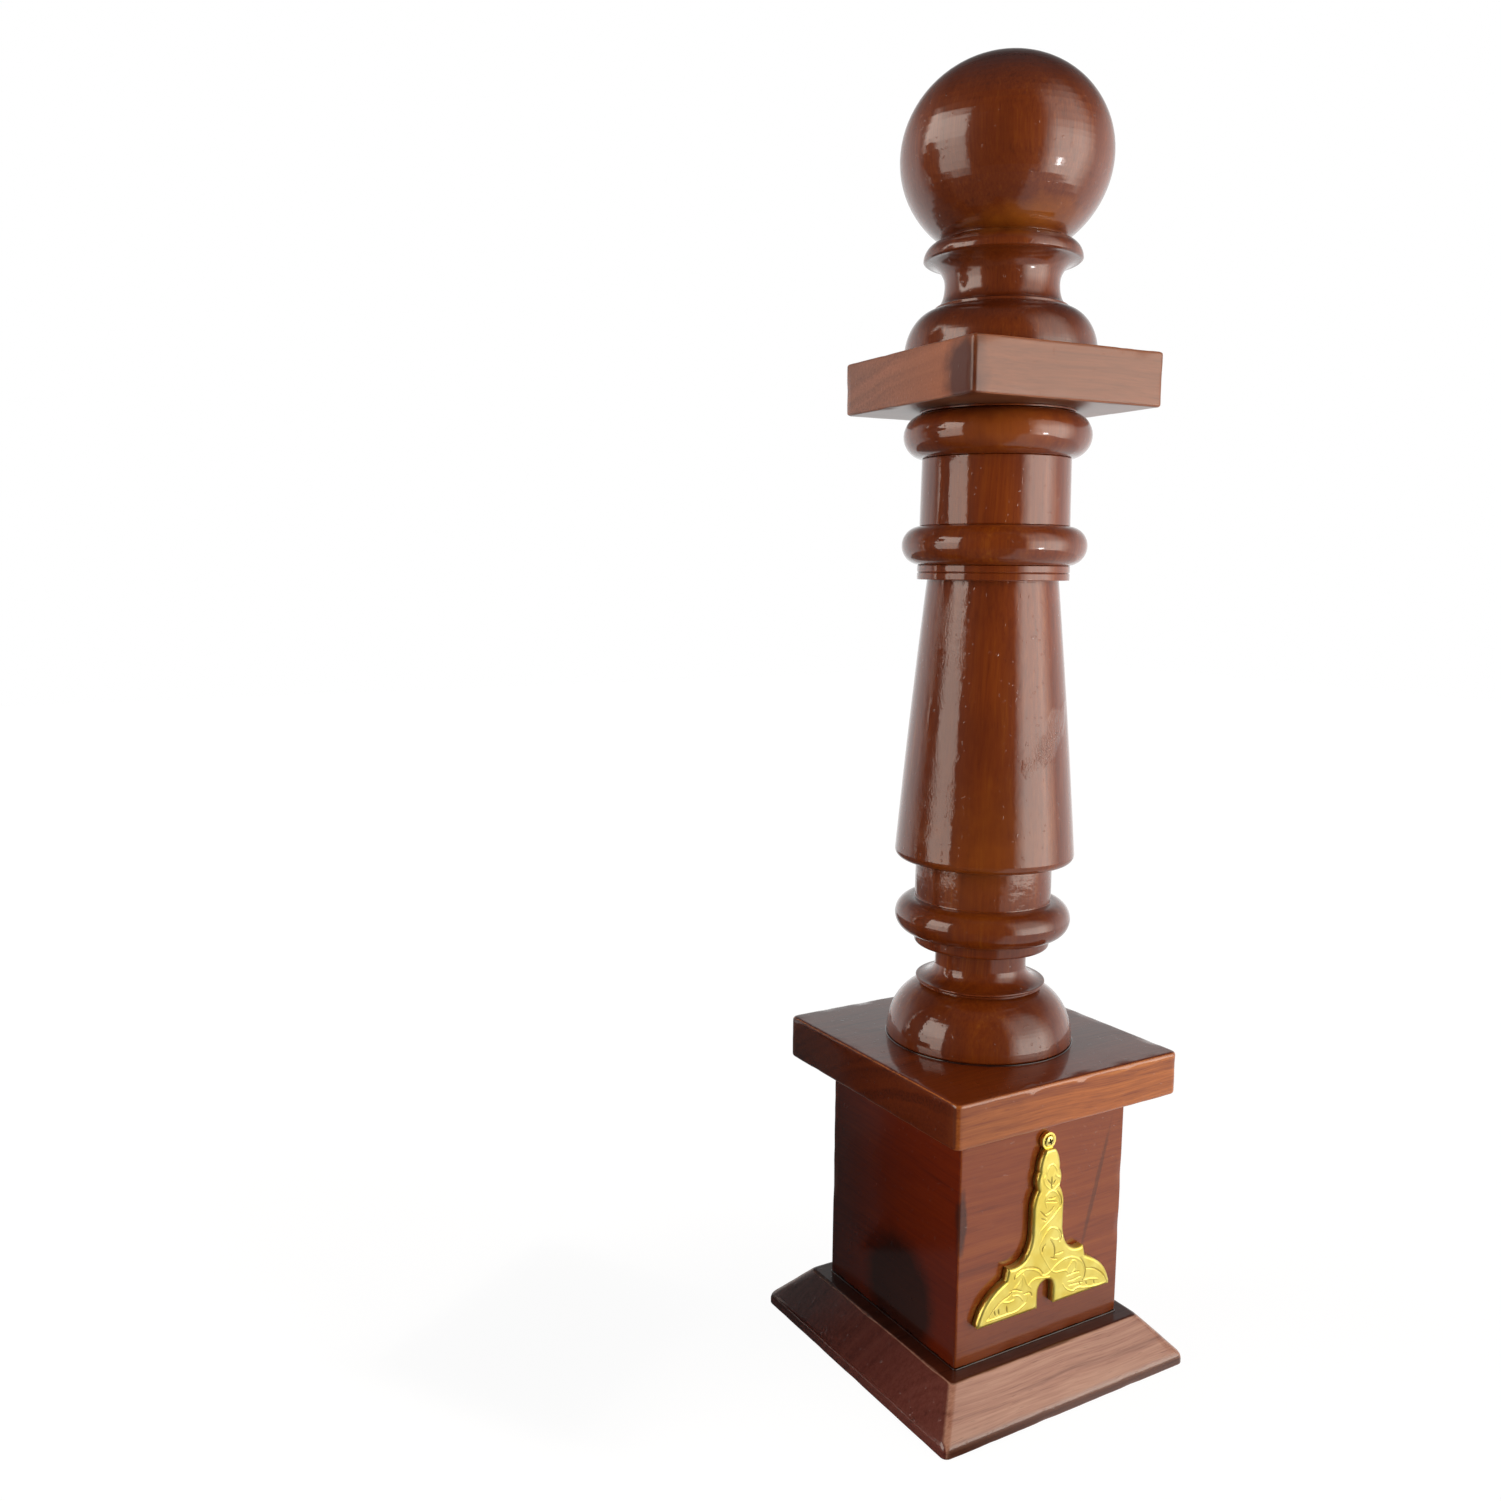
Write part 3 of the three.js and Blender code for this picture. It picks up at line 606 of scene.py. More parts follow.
def tidyMesh(mesh, merge=seam):
    # closes seams and poles and turns every face outwards
    work = bmesh.new()
    work.from_mesh(mesh)
    bmesh.ops.remove_doubles(work, verts=work.verts, dist=merge)
    bmesh.ops.dissolve_degenerate(work, edges=work.edges, dist=merge / 2)
    bmesh.ops.recalc_face_normals(work, faces=work.faces)
    for face in work.faces:
        face.smooth = True
    work.to_mesh(mesh)
    work.free()
    mesh.update()
    return mesh


def oneFinish(mesh, finish):
    # every face gets the piece's finish, and no empty slot is left by a modifier
    mesh.materials.clear()
    mesh.materials.append(finish)
    for face in mesh.polygons:
        face.material_index = 0


def lineMesh(name, places, closed=False):
    mesh = bpy.data.meshes.new(name)
    count = len(places)
    edges = [(i, (i + 1) % count) for i in range(count if closed else count - 1)]
    mesh.from_pydata([Vector(p) * mm for p in places], edges, [])
    return mesh


def newTree(name, sockets):
    tree = bpy.data.node_groups.new(name, "GeometryNodeTree")
    tree.is_modifier = True
    for title, kind in sockets.items():
        tree.interface.new_socket(name=title, in_out="INPUT", socket_type="NodeSocket" + kind)
    tree.interface.new_socket(name="Piece", in_out="OUTPUT", socket_type="NodeSocketGeometry")
    return tree, addNode(tree, "NodeGroupInput").outputs


def endTree(tree, geometry, finish):
    geometry = addNode(tree, "GeometryNodeRealizeInstances", {"Geometry": geometry})
    geometry = addNode(tree, "GeometryNodeSetMaterial", {"Geometry": geometry, "Material": finish})
    addNode(tree, "NodeGroupOutput", {"Piece": geometry})
    return tree


def plainMesh(part):
    # the mesh that the part's modifiers make; the part itself goes
    bpy.context.view_layer.update()
    done = part.evaluated_get(bpy.context.evaluated_depsgraph_get())
    mesh = bpy.data.meshes.new_from_object(done)
    bpy.data.objects.remove(part)
    return mesh


def runTree(tree, line, values):
    # puts the tree on the line, sets its named inputs, and returns its result
    base = addObject(line.name, line)
    modifier = base.modifiers.new(tree.name, "NODES")
    modifier.node_group = tree
    for item in tree.interface.items_tree:
        if item.in_out == "INPUT" and item.name in values:
            modifier[item.identifier] = values[item.name]
    mesh = plainMesh(base)
    oneFinish(mesh, values["Finish"])
    return tidyMesh(mesh)


def makeLathe():
    # spins an outline round Z
    tree, given = newTree("turned_on_lathe", {
        "Outline": "Geometry", "Sides": "Int", "Unevenness": "Float", "Wave Length": "Float",
        "Seed": "Float", "Finish": "Material"})
    count = addNode(tree, "GeometryNodeAttributeDomainSize", {"Geometry": given["Outline"]},
                    component="MESH").outputs["Point Count"]
    columns = addNode(tree, "FunctionNodeIntegerMath", {0: given["Sides"], 1: 1}, operation="ADD")
    grid = addNode(tree, "GeometryNodeMeshGrid", {"Vertices X": columns, "Vertices Y": count})
    index = addNode(tree, "GeometryNodeInputIndex")
    row = addNode(tree, "FunctionNodeIntegerMath", {0: index, 1: count}, operation="MODULO")
    column = addNode(tree, "FunctionNodeIntegerMath", {0: index, 1: count}, operation="DIVIDE_FLOOR")
    position = addNode(tree, "GeometryNodeInputPosition")
    point = addNode(tree, "GeometryNodeSampleIndex", {
        "Geometry": given["Outline"], "Value": position, "Index": row},
        data_type="FLOAT_VECTOR", domain="POINT")
    point = addNode(tree, "ShaderNodeSeparateXYZ", {"Vector": point}).outputs
    turn = addNode(tree, "ShaderNodeMath", {0: column, 1: given["Sides"]}, operation="DIVIDE")
    turn = addNode(tree, "ShaderNodeMath", {0: turn, 1: 2 * math.pi}, operation="MULTIPLY")
    flat = addNode(tree, "ShaderNodeCombineXYZ", {"X": point["X"], "Z": point["Z"]})
    ring = addNode(tree, "ShaderNodeVectorRotate", {"Vector": flat, "Angle": turn},
                   rotation_type="Z_AXIS")

    # hand turning and sanding leave slow swells, always inside the true outline
    waves = addNode(tree, "ShaderNodeVectorMath", {0: ring, 1: given["Wave Length"]},
                    operation="DIVIDE")
    waves = addNode(tree, "ShaderNodeVectorMath", {0: waves, 1: given["Seed"]}, operation="ADD")
    swell = addNode(tree, "ShaderNodeTexNoise", {"Vector": waves, "Scale": 1.0, "Detail": 1.0})
    swell = addNode(tree, "ShaderNodeMath", {0: swell, 1: given["Unevenness"]}, operation="MULTIPLY")
    radius = addNode(tree, "ShaderNodeMath", {0: point["X"], 1: swell}, operation="SUBTRACT")
    radius = addNode(tree, "ShaderNodeMath", {0: radius, 1: 0.0}, operation="MAXIMUM")
    flat = addNode(tree, "ShaderNodeCombineXYZ", {"X": radius, "Z": point["Z"]})
    ring = addNode(tree, "ShaderNodeVectorRotate", {"Vector": flat, "Angle": turn},
                   rotation_type="Z_AXIS")
    moved = addNode(tree, "GeometryNodeSetPosition", {
        "Geometry": grid.outputs["Mesh"], "Position": ring})
    moved = addNode(tree, "GeometryNodeMergeByDistance", {"Geometry": moved, "Distance": seam})
    return endTree(tree, moved, given["Finish"])


def turned(name, outline, look, finish):
    points = outline.finished(look["longest"])
    line = lineMesh(name, [(p.x, 0, p.y) for p in points])
    return runTree(lathe, line, {
        "Sides": look["sides"], "Unevenness": look["unevenness"] * mm,
        "Wave Length": look["waveLength"] * mm, "Seed": look["seed"], "Finish": finish})


lathe = makeLathe()

shaftLook = {
    "sides": 160, "longest": 3.0, "unevenness": 0.14, "waveLength": 38, "seed": 3.0,
    "footRadius": 37.7, "footEdge": 0.8, "footCrownRadius": 19.6, "footCrownHeight": 21.7,
    "quirkRadius": 24.0, "quirkHeight": 0.6, "ringRadius": 25.4, "ringHeight": 0.7, "discGap": 0.4,
    "discRadius": 26.1, "discEdge": 0.8, "waistRadius": 18.4, "waistCove": 6.5, "waistHeight": 7.8,
    "bandRadius": 27.2, "bandEase": 1.3, "bandHeight": 4.7, "lowTorus": (35.2, 7.2),
    "drumRadius": 27.3, "drumHeight": 16.2, "shaftFoot": 35.8, "shaftFootEase": 3.4,
    "shaftTop": 25.7, "shaftHeight": 111.5, "shaftSwell": 0.36, "shaftSteps": 36,
    "filletRadius": 29.7, "filletHeight": 5.6, "filletGroove": 0.5, "midTorus": (36.0, 7.6),
    "neckFoot": 29.2, "neckTop": 28.8, "neckHeight": 25.7, "topTorus": (36.2, 8.6),
    "seatRadius": 30.0, "seatHeight": 0.7,
}


def shaftOutline(look):
    line = Outline()
    line.to(look["footRadius"] - look["footEdge"]).to(look["footRadius"], look["footEdge"])
    reach = look["footRadius"] - look["footCrownRadius"]
    end = math.degrees(math.acos((look["quirkRadius"] - look["footCrownRadius"]) / reach))
    line.arc(look["footCrownRadius"], look["footEdge"], reach, look["footCrownHeight"], 0, end)
    line.to(look["quirkRadius"], look["quirkHeight"], 0.15)
    ring, gap = look["ringRadius"], look["discGap"]
    line.to(ring - gap / 2, 0, 0.1).to(ring, look["ringHeight"] / 2, 0.15)
    line.to(ring - gap / 2, look["ringHeight"] / 2, 0.1)
    line.to(ring - gap * 1.5, 0, 0.1).to(ring - gap * 1.5, gap, 0.1)
    line.to(look["discRadius"], 0, 0.2).to(look["discRadius"], look["discEdge"], 0.3)
    disc, waist, cove = look["discRadius"], look["waistRadius"], look["waistCove"]
    line.arc(disc, line.height + cove, disc - waist, cove, 262, 180)
    line.to(waist, look["waistHeight"], 0.5)
    band, ease = line.height, look["bandEase"]
    line.to(look["bandRadius"] - ease, 0, 0.2)
    line.arc(look["bandRadius"] - ease, band + ease, ease, ease, -75, 0)
    line.to(look["bandRadius"], look["bandHeight"] - ease, 0.2)
    line.torus(*look["lowTorus"])
    line.to(look["drumRadius"], 0, 0.4).to(look["drumRadius"], look["drumHeight"], 0.3)
    bottom, ease = line.height, look["shaftFootEase"]
    line.to(look["shaftFoot"] - ease, 0, 0.2)
    line.arc(look["shaftFoot"] - ease, bottom + ease, ease, ease, -80, 0)
    # the shaft's slight swell, fullest halfway up
    steps = look["shaftSteps"]
    for step in range(1, steps + 1):
        share = step / steps
        straight = look["shaftFoot"] + (look["shaftTop"] - look["shaftFoot"]) * share
        line.to(straight + 4 * look["shaftSwell"] * share * (1 - share),
                (look["shaftHeight"] - ease) / steps, 0.3 if step == steps else 0.0)
    fillet, groove = look["filletRadius"], look["filletGroove"]
    band = (look["filletHeight"] - groove) / 2
    line.to(fillet, 0, 0.3).to(fillet, band, 0.25)
    line.to(fillet - groove, groove / 2, 0.1).to(fillet, groove / 2, 0.25).to(fillet, band, 0.3)
    line.torus(*look["midTorus"])
    line.to(look["neckFoot"], 0, 0.4).to(look["neckTop"], look["neckHeight"], 0.4)
    line.torus(*look["topTorus"])
    line.to(look["seatRadius"], 0, 0.2).to(look["seatRadius"], look["seatHeight"], 0.1)
    return line


finialLook = {
    "sides": 168, "longest": 3.0, "unevenness": 0.14, "waveLength": 30, "seed": 11.0,
    "ovoloRadius": 36.8, "ovoloCrown": 24.0, "ovoloHeight": 17.5,
    "ledgeRadius": 25.5, "ledgeHeight": 1.0,
    "throatRadius": 21.8, "throatRise": 8.4, "collarCove": 8.4, "collarRadius": 30.2, "collarEdge": 0.6,
    "collarCrown": 6.8, "creviceRadius": 23.3, "creviceHeight": 0.5,
    "ballRadius": 40.0, "ballLower": 37.0, "ballUpper": 36.9,
}


def finialOutline(look):
    line = Outline()
    line.arc(look["ovoloCrown"], 0, look["ovoloRadius"] - look["ovoloCrown"], look["ovoloHeight"], 0, 82)
    line.to(look["ledgeRadius"], 0, 0.3).to(look["ledgeRadius"], look["ledgeHeight"], 0.3)
    throat, waist = line.height + look["throatRise"], look["throatRadius"]
    line.arc(look["ledgeRadius"], throat, look["ledgeRadius"] - waist, look["throatRise"], 260, 180)
    rim = look["collarRadius"] - look["collarEdge"]
    line.arc(rim, throat, rim - waist, look["collarCove"], 176, 92)
    line.to(look["collarRadius"], look["collarEdge"], 0.3)
    crevice = look["creviceRadius"]
    line.arc(crevice, line.height, look["collarRadius"] - crevice, look["collarCrown"], 12, 82)
    line.to(crevice, look["creviceHeight"], 0.2)
    share = math.sqrt(1 - (crevice / look["ballRadius"]) ** 2)
    centre = line.height + look["ballLower"] * share
    start = -math.degrees(math.asin(share))
    line.arc(0, centre, look["ballRadius"], look["ballLower"], start + 2, -3)
    line.height = centre
    return line.dome(look["ballRadius"], look["ballUpper"], 0)


for name, outline, node, look, finish in (
        ("shaft_turning", shaftOutline(shaftLook), "column_shaft", shaftLook, turnedWood),
        ("finial_turning", finialOutline(finialLook), "ball_finial", finialLook, finialWood)):
    mesh = turned(name, outline, look, finish)
    mesh.transform(Matrix.Translation((0, 0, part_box(node)[0].z)))
    makePiece(name, mesh, node)


def squareRing(half, corner, height, cells=1, bends=5):
    # one level line round a square with rounded corners
    corner = min(corner, half)
    inner = half - corner
    ease = min(0.4, inner / 4)  # a narrow first cell, so that shading bends only at the corner
    stops = [-inner] + [-inner + ease + (2 * inner - 2 * ease) * k / cells for k in range(cells + 1)]
    ring = []
    for turn in range(4):
        c, s = (1, 0, -1, 0)[turn], (0, 1, 0, -1)[turn]
        side = [(half, t) for t in stops]
        for k in range(bends):
            angle = math.pi / 2 * k / bends
            side.append((inner + corner * math.cos(angle), inner + corner * math.sin(angle)))
        ring += [(c * x - s * y, s * x + c * y, height) for x, y in side]
    return ring


def weather(mesh, look, arrisBend=0.12):
    # Faces that aren't quite flat, and arrises rubbed down here and there. Always inwards.
    work = bmesh.new()
    work.from_mesh(mesh)
    work.normal_update()
    seed = Vector((look["seed"], 0, 0))
    moves = []
    for vert in work.verts:
        place = vert.co / mm
        shift = look["unevenness"] * (0.5 + 0.5 * noise.noise(place / look["waveLength"] + seed))
        bend = max((edge.calc_face_angle(0.0) for edge in vert.link_edges), default=0.0)
        if bend > arrisBend:
            shift += look["wear"] * max(0.0, noise.noise(place / look["wearLength"] + seed * 2))
        moves.append(vert.normal * -shift * mm)
    for vert, move in zip(work.verts, moves):
        vert.co += move
        vert.co.z = max(vert.co.z, 0.0)
    work.to_mesh(mesh)
    work.free()


def squareBlock(name, outline, node, look, finish):
    rings = [squareRing(max(p.x, 0.0), look["corner"], p.y, look["cells"])
             for p in outline.finished(look["longest"])]
    count = len(rings[0])
    faces = []
    for k in range(len(rings) - 1):
        for i in range(count):
            j = (i + 1) % count
            faces.append((k * count + i, k * count + j, (k + 1) * count + j, (k + 1) * count + i))
    mesh = bpy.data.meshes.new(name)
    mesh.from_pydata([Vector(p) * mm for ring in rings for p in ring], [], faces)
    tidyMesh(mesh)
    weather(mesh, look)
    foot = Matrix.Translation((0, 0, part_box(node)[0].z))
    mesh.transform(foot @ Matrix.Rotation(math.radians(look.get("turn", 0.0)), 4, "Z"))
    mesh.materials.append(finish)
    return makePiece(name, mesh, node)


sawnBoard = {"cells": 32, "longest": 3.0, "unevenness": 0.12, "wear": 0.45, "wearLength": 9}
plinthLook = {
    **sawnBoard, "width": 124, "height": 18.9, "lip": 4.1, "top": 96.8, "ease": 0.8, "lipEase": 2.0,
    "corner": 2.6, "cells": 44, "unevenness": 0.1, "waveLength": 30, "wear": 0.25, "seed": 5.0,
}
dieLook = {
    **sawnBoard, "width": 84.5, "height": 95.5, "ease": 0.9, "corner": 1.0, "waveLength": 34, "seed": 8.0,
}
capLook = {
    **sawnBoard, "width": 112.1, "height": 17.8, "ease": 1.5, "corner": 2.6, "cells": 42,
    "waveLength": 32, "wear": 0.3, "wearLength": 8, "seed": 13.0,
}
abacusLook = {
    **sawnBoard, "width": 86.5, "height": 20.3, "ease": 1.2, "corner": 1.8, "turn": -3.8,
    "waveLength": 28, "wear": 0.5, "wearLength": 8, "seed": 21.0,
}

for name, node, slotName, look, finish in (
        ("plinth_board", "base_plinth", "board_wood", plinthLook, plinthWood),
        ("die_block", "pedestal_die", "die_wood", dieLook, dieWood),
        ("cap_board", "pedestal_cap", "board_wood", capLook, boardWood),
        ("abacus_board", "abacus", "board_wood", abacusLook, abacusWood)):
    width, lip = look["width"], look.get("lip", 0)
    block = Outline().to(width / 2, 0, look["ease"])
    if lip:
        block.to(width / 2, lip, look["lipEase"])
    block.to(look.get("top", width) / 2, look["height"] - lip, look["ease"])
    squareBlock(name, block, node, look, finish)


def makeBeading():
    # a thin uneven bead laid along a closed line
    tree, given = newTree("bead_along_joint", {
        "Line": "Geometry", "Radius": "Float", "Unevenness": "Float", "Wave Length": "Float",
        "Seed": "Float", "Finish": "Material"})
    curve = addNode(tree, "GeometryNodeMeshToCurve", {"Mesh": given["Line"]})
    position = addNode(tree, "GeometryNodeInputPosition")
    waves = addNode(tree, "ShaderNodeVectorMath", {0: position, 1: given["Wave Length"]},
                    operation="DIVIDE")
    waves = addNode(tree, "ShaderNodeVectorMath", {0: waves, 1: given["Seed"]}, operation="ADD")
    swell = addNode(tree, "ShaderNodeTexNoise", {"Vector": waves, "Scale": 1.0, "Detail": 2.0})
    swell = addNode(tree, "ShaderNodeMath", {0: swell, 1: given["Unevenness"]}, operation="MULTIPLY")
    share = addNode(tree, "ShaderNodeMath", {0: 1.0, 1: swell}, operation="SUBTRACT")
    profile = addNode(tree, "GeometryNodeCurvePrimitiveCircle", {
        "Resolution": 10, "Radius": given["Radius"]})
    bead = addNode(tree, "GeometryNodeCurveToMesh", {
        "Curve": curve, "Profile Curve": profile, "Scale": share})
    return endTree(tree, bead, given["Finish"])


# Varnish and glue pooled in the joints: a dark thread with a wet shine.
beadLook = {
    "radius": 0.38, "unevenness": 0.7, "waveLength": 7, "rise": 0.15,
    "low": "#1c0a05", "high": "#3a1608", "steps": 180, "corner": 1.0, "cells": 50,
    "rings": {"dome_foot": ("pedestal_cap", 37.8), "ovolo_foot": ("abacus", 36.9)},
    "squares": {"die_foot": ("base_plinth", 42.35)},
}


def makePooledVarnish(look):
    material, tree, place = newMaterial("pooled_varnish")
    tone = addNode(tree, "ShaderNodeTexNoise", {"Vector": place, "Scale": 1 / (5 * mm), "Detail": 2.0})
    colour = addNode(tree, "ShaderNodeValToRGB", {"Fac": tone}, stops=[
        (0.35, look["low"]), (0.65, look["high"])])
    shader = addNode(tree, "ShaderNodeBsdfPrincipled", {
        "Base Color": colour, "Roughness": 0.3, "Coat Weight": 1.0, "Coat Roughness": 0.05})
    addNode(tree, "ShaderNodeOutputMaterial", {"Surface": shader})
    return material


beading = makeBeading()
pooledVarnish = makePooledVarnish(beadLook)
lines = {}
for name, (node, radius) in beadLook["rings"].items():
    turns = [2 * math.pi * k / beadLook["steps"] for k in range(beadLook["steps"])]
    lines[name] = (node, [(radius * math.cos(t), radius * math.sin(t), 0) for t in turns])
for name, (node, half) in beadLook["squares"].items():
    lines[name] = (node, squareRing(half, beadLook["corner"], 0, beadLook["cells"]))
for seed, (name, (node, places)) in enumerate(lines.items()):
    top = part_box(node)[1].z / mm + beadLook["rise"]
    line = lineMesh(name, [(x, y, top) for x, y, z in places], closed=True)
    mesh = runTree(beading, line, {
        "Radius": beadLook["radius"] * mm, "Unevenness": beadLook["unevenness"],
        "Wave Length": beadLook["waveLength"] * mm, "Seed": float(seed * 9), "Finish": pooledVarnish})
    makePiece(name + "_bead", mesh, None)


# The emblem: an engraved plate with a level's outline. Half widths and heights go from its
# foot upwards, raised and cut lines are places to the right of its middle and above its foot.
# Dirt lies in the cut lines, except where a raised line crosses them.
smallTurning = {"sides": 64, "longest": 1.0, "unevenness": 0.0, "waveLength": 10, "seed": 0.0}
emblemLook = {
    "thickness": 3.4, "ease": 0.45, "raise": 0.24, "raiseWidth": 0.3, "cut": 0.46, "cutWidth": 0.23,
    "dirt": 0.7, "dirtSpared": 0.6,
    # the mesh: its cells, the rows of points along the border, and the steps along lines
    "cell": 0.22, "gridHalf": 34, "gridTop": 65, "borderDepths": (0.12, 0.3, 0.5, 0.75),
    "borderClear": 0.9, "archSteps": 14, "outlineStep": 0.4, "lineStep": 0.15, "lineReach": 1.3,
    "half": [
        [(4.3, 6.6), (4.3, 0)], [(4.3, 0), (34.2, 0)], [(34.2, 0), (34.2, 1.3)],
        [(34.2, 1.3), (31.8, 9.7), (26.7, 12.5), (20.4, 15.6)], [(20.4, 15.6), (19.2, 20.3)],
        [(19.2, 20.3), (12.6, 18.7), (8.4, 23.3), (7.6, 31)], [(7.6, 31), (7.6, 42)],
        [(7.6, 42), (7.2, 45.7), (5.2, 48.7)], [(5.2, 48.7), (6.9, 52.35), (4.9, 56)],
        [(4.9, 56), (5.4, 58), (3.6, 64.7), (1.6, 64.7)],
    ],
    "arch": (6.6, 4.3),
    "raised": [
        [(2.2, 14.1), (5.1, 15.9), (9.1, 17.2), (13.7, 16.7), (17.4, 14.5), (19.5, 11.8), (20.3, 9.2)],
        [(2.2, 14.1), (4.7, 12.8), (7.4, 12.5), (9.9, 12.2), (11.3, 10.8)],
        [(8.8, 6.7), (10.2, 4.6), (12.8, 2.8), (14.5, 2.3), (16.7, 3), (21.2, 1.9), (26.2, 1.2),
         (32.8, 0.9)],
        [(10.7, 12.2), (12.2, 14), (13.8, 15.3), (15.5, 13.9), (15.1, 11.5), (13, 9.9)],
        [(20.4, 5.2), (23.8, 4.9), (27.8, 3.6)],
        [(2.2, 14.1), (-0.2, 13.1), (-2.3, 13.2), (-4.5, 15.5), (-7.8, 17.4), (-11.5, 18.1),
         (-16.1, 16.2)],
        [(1.5, 11.7), (-2.3, 12.4), (-6, 13), (-8.1, 12.3), (-9.6, 11)],
        [(-30.1, 2.2), (-25.8, 2.1), (-20.7, 2.1), (-15.5, 2.1), (-12.4, 3.3), (-10.4, 4.4),
         (-9.4, 6.7)],
        [(-12.5, 16.4), (-13.9, 13.9), (-16.9, 11.4)], [(-12.2, 16.4), (-12.6, 12.7), (-13.8, 10.5)],
        [(-11.9, 15.9), (-10.2, 12), (-8, 9.7)], [(-22, 7.7), (-19.3, 7), (-16.8, 7.1)],
        [(-17.4, 9), (-14.2, 8.1), (-12, 5.7)],
        [(2.2, 14.1), (-1, 18.8), (-3.7, 23.4), (-3.7, 26.8), (-0.5, 31.4), (1.6, 32.2), (4.3, 31),
         (5.8, 29), (5.6, 26.9), (3.5, 26.6), (1.3, 28)],
        [(-4.2, 31.1), (-3.2, 32.9), (1.4, 36), (3.7, 37.9), (5.2, 40.1), (5.4, 42.6), (3.6, 46),
         (0.9, 47.6), (-1.7, 46.4), (-2.4, 44.1), (-1.5, 41.3)],
        [(0.3, 48.1), (-2.5, 50.8), (-3.4, 53.1), (-2.4, 54.8), (-1.9, 56.5), (-0.7, 58.3), (0.9, 58.6)],
        [(0.9, 58.6), (2.3, 57.2), (3.2, 55.4), (2.7, 53.8), (4.9, 52), (5.3, 50.2), (3.7, 48.9),
         (1.9, 47.7)],
    ],
    "cutLines": [
        [(17.7, 15.5), (19.7, 12.8), (20.7, 9.9), (20.3, 7), (19.3, 5.1)],
        [(20.7, 10.1), (24.7, 9.1), (28.8, 6.6), (31.5, 3.9), (33.1, 1)],
        [(10.8, 9.6), (14.1, 10), (17.4, 9.7)], [(11.5, 7.3), (14.8, 7.2), (18.1, 7.6)],
        [(12.1, 5.3), (16, 5.1), (19.3, 4.6)], [(18.3, 3.6), (17.6, 5.1)], [(21.7, 2.9), (21.3, 4.3)],
        [(25.9, 2.1), (25.6, 3.6)],
        [(-1.8, 13.9), (-4.6, 16.8), (-8.4, 18.3), (-13.1, 18.7), (-16.2, 17.5), (-16.9, 15.5)],
        [(-19, 11.3), (-15.9, 11.1), (-12.7, 9.7)], [(-11.6, 8.2), (-8.4, 7.9), (-7.3, 6.1)],
        [(-29.4, 3.2), (-27, 5.8), (-23.5, 8.2), (-19.5, 9.5), (-17.5, 11.5)],
        [(-24.1, 3.3), (-24.4, 5.5)], [(-20, 2.9), (-20.3, 5.6)], [(-25.9, 3.4), (-26.5, 5.3)],
        [(1.3, 27.1), (3, 24.6), (3.7, 21.8), (3.3, 19.4)], [(-1.3, 26.1), (-2.6, 24.8), (-3, 23.2)],
        [(4.3, 20.6), (6.5, 20.5), (8.1, 20.7)], [(1.7, 19.8), (3.3, 18.9), (4.9, 18.5)],
        [(5.4, 30.8), (6.9, 28.7), (7, 27), (6, 25.5)],
        [(3.9, 46.8), (5.9, 43.8), (6, 40.8), (4.2, 38.9)],
        [(-0.6, 44.9), (1.6, 44.4), (2.9, 44.7)], [(-1.6, 43.7), (1.1, 43.2), (3.8, 42.4)],
        [(2.3, 40.8), (0.2, 39.2), (-1.9, 38.5)], [(-4.6, 40.4), (-1.3, 37.1)],
        [(-3.9, 37.3), (-1.8, 35.9)],
        [(0.6, 53.4), (0.8, 48.3)], [(-1.5, 52.7), (0.5, 50.3)], [(2.7, 51.7), (1.2, 49.9)],
    ],
    "lug": {**smallTurning, "height": 67.6, "radius": 3.5, "hole": 1.3, "sink": 2.5, "cone": 1.3,
            "thickness": 1.9, "ease": 0.3},
}


def bezier(points, share):
    while len(points) > 1:
        points = [a.lerp(b, share) for a, b in zip(points, points[1:])]
    return points[0]


def smoothLine(places, step):
    # a curve through the places, cut into equal short steps
    points = [Vector(p) for p in places]
    points = [2 * points[0] - points[1]] + points + [2 * points[-1] - points[-2]]
    line = []
    for a, b, c, d in zip(points, points[1:], points[2:], points[3:]):
        count = max(1, math.ceil((c - b).length / step))
        handles = [b, b + (c - a) / 6, c - (d - b) / 6, c]
        line += [bezier(handles, k / count) for k in range(count)]
    return line + [points[-2]]


def emblemOutline(look):
    spring, radius = look["arch"]
    turns = [math.pi / 2 * k / look["archSteps"] for k in range(look["archSteps"])]
    half = [Vector((radius * math.sin(t), spring + radius * math.cos(t))) for t in turns]
    for points in look["half"]:
        points = [Vector(p) for p in points]
        count = max(1, math.ceil((points[-1] - points[0]).length / look["outlineStep"]))
        half += [bezier(points, k / count) for k in range(count)]
    half.append(Vector(look["half"][-1][-1]))
    return half + [Vector((-p.x, p.y)) for p in reversed(half[1:])]


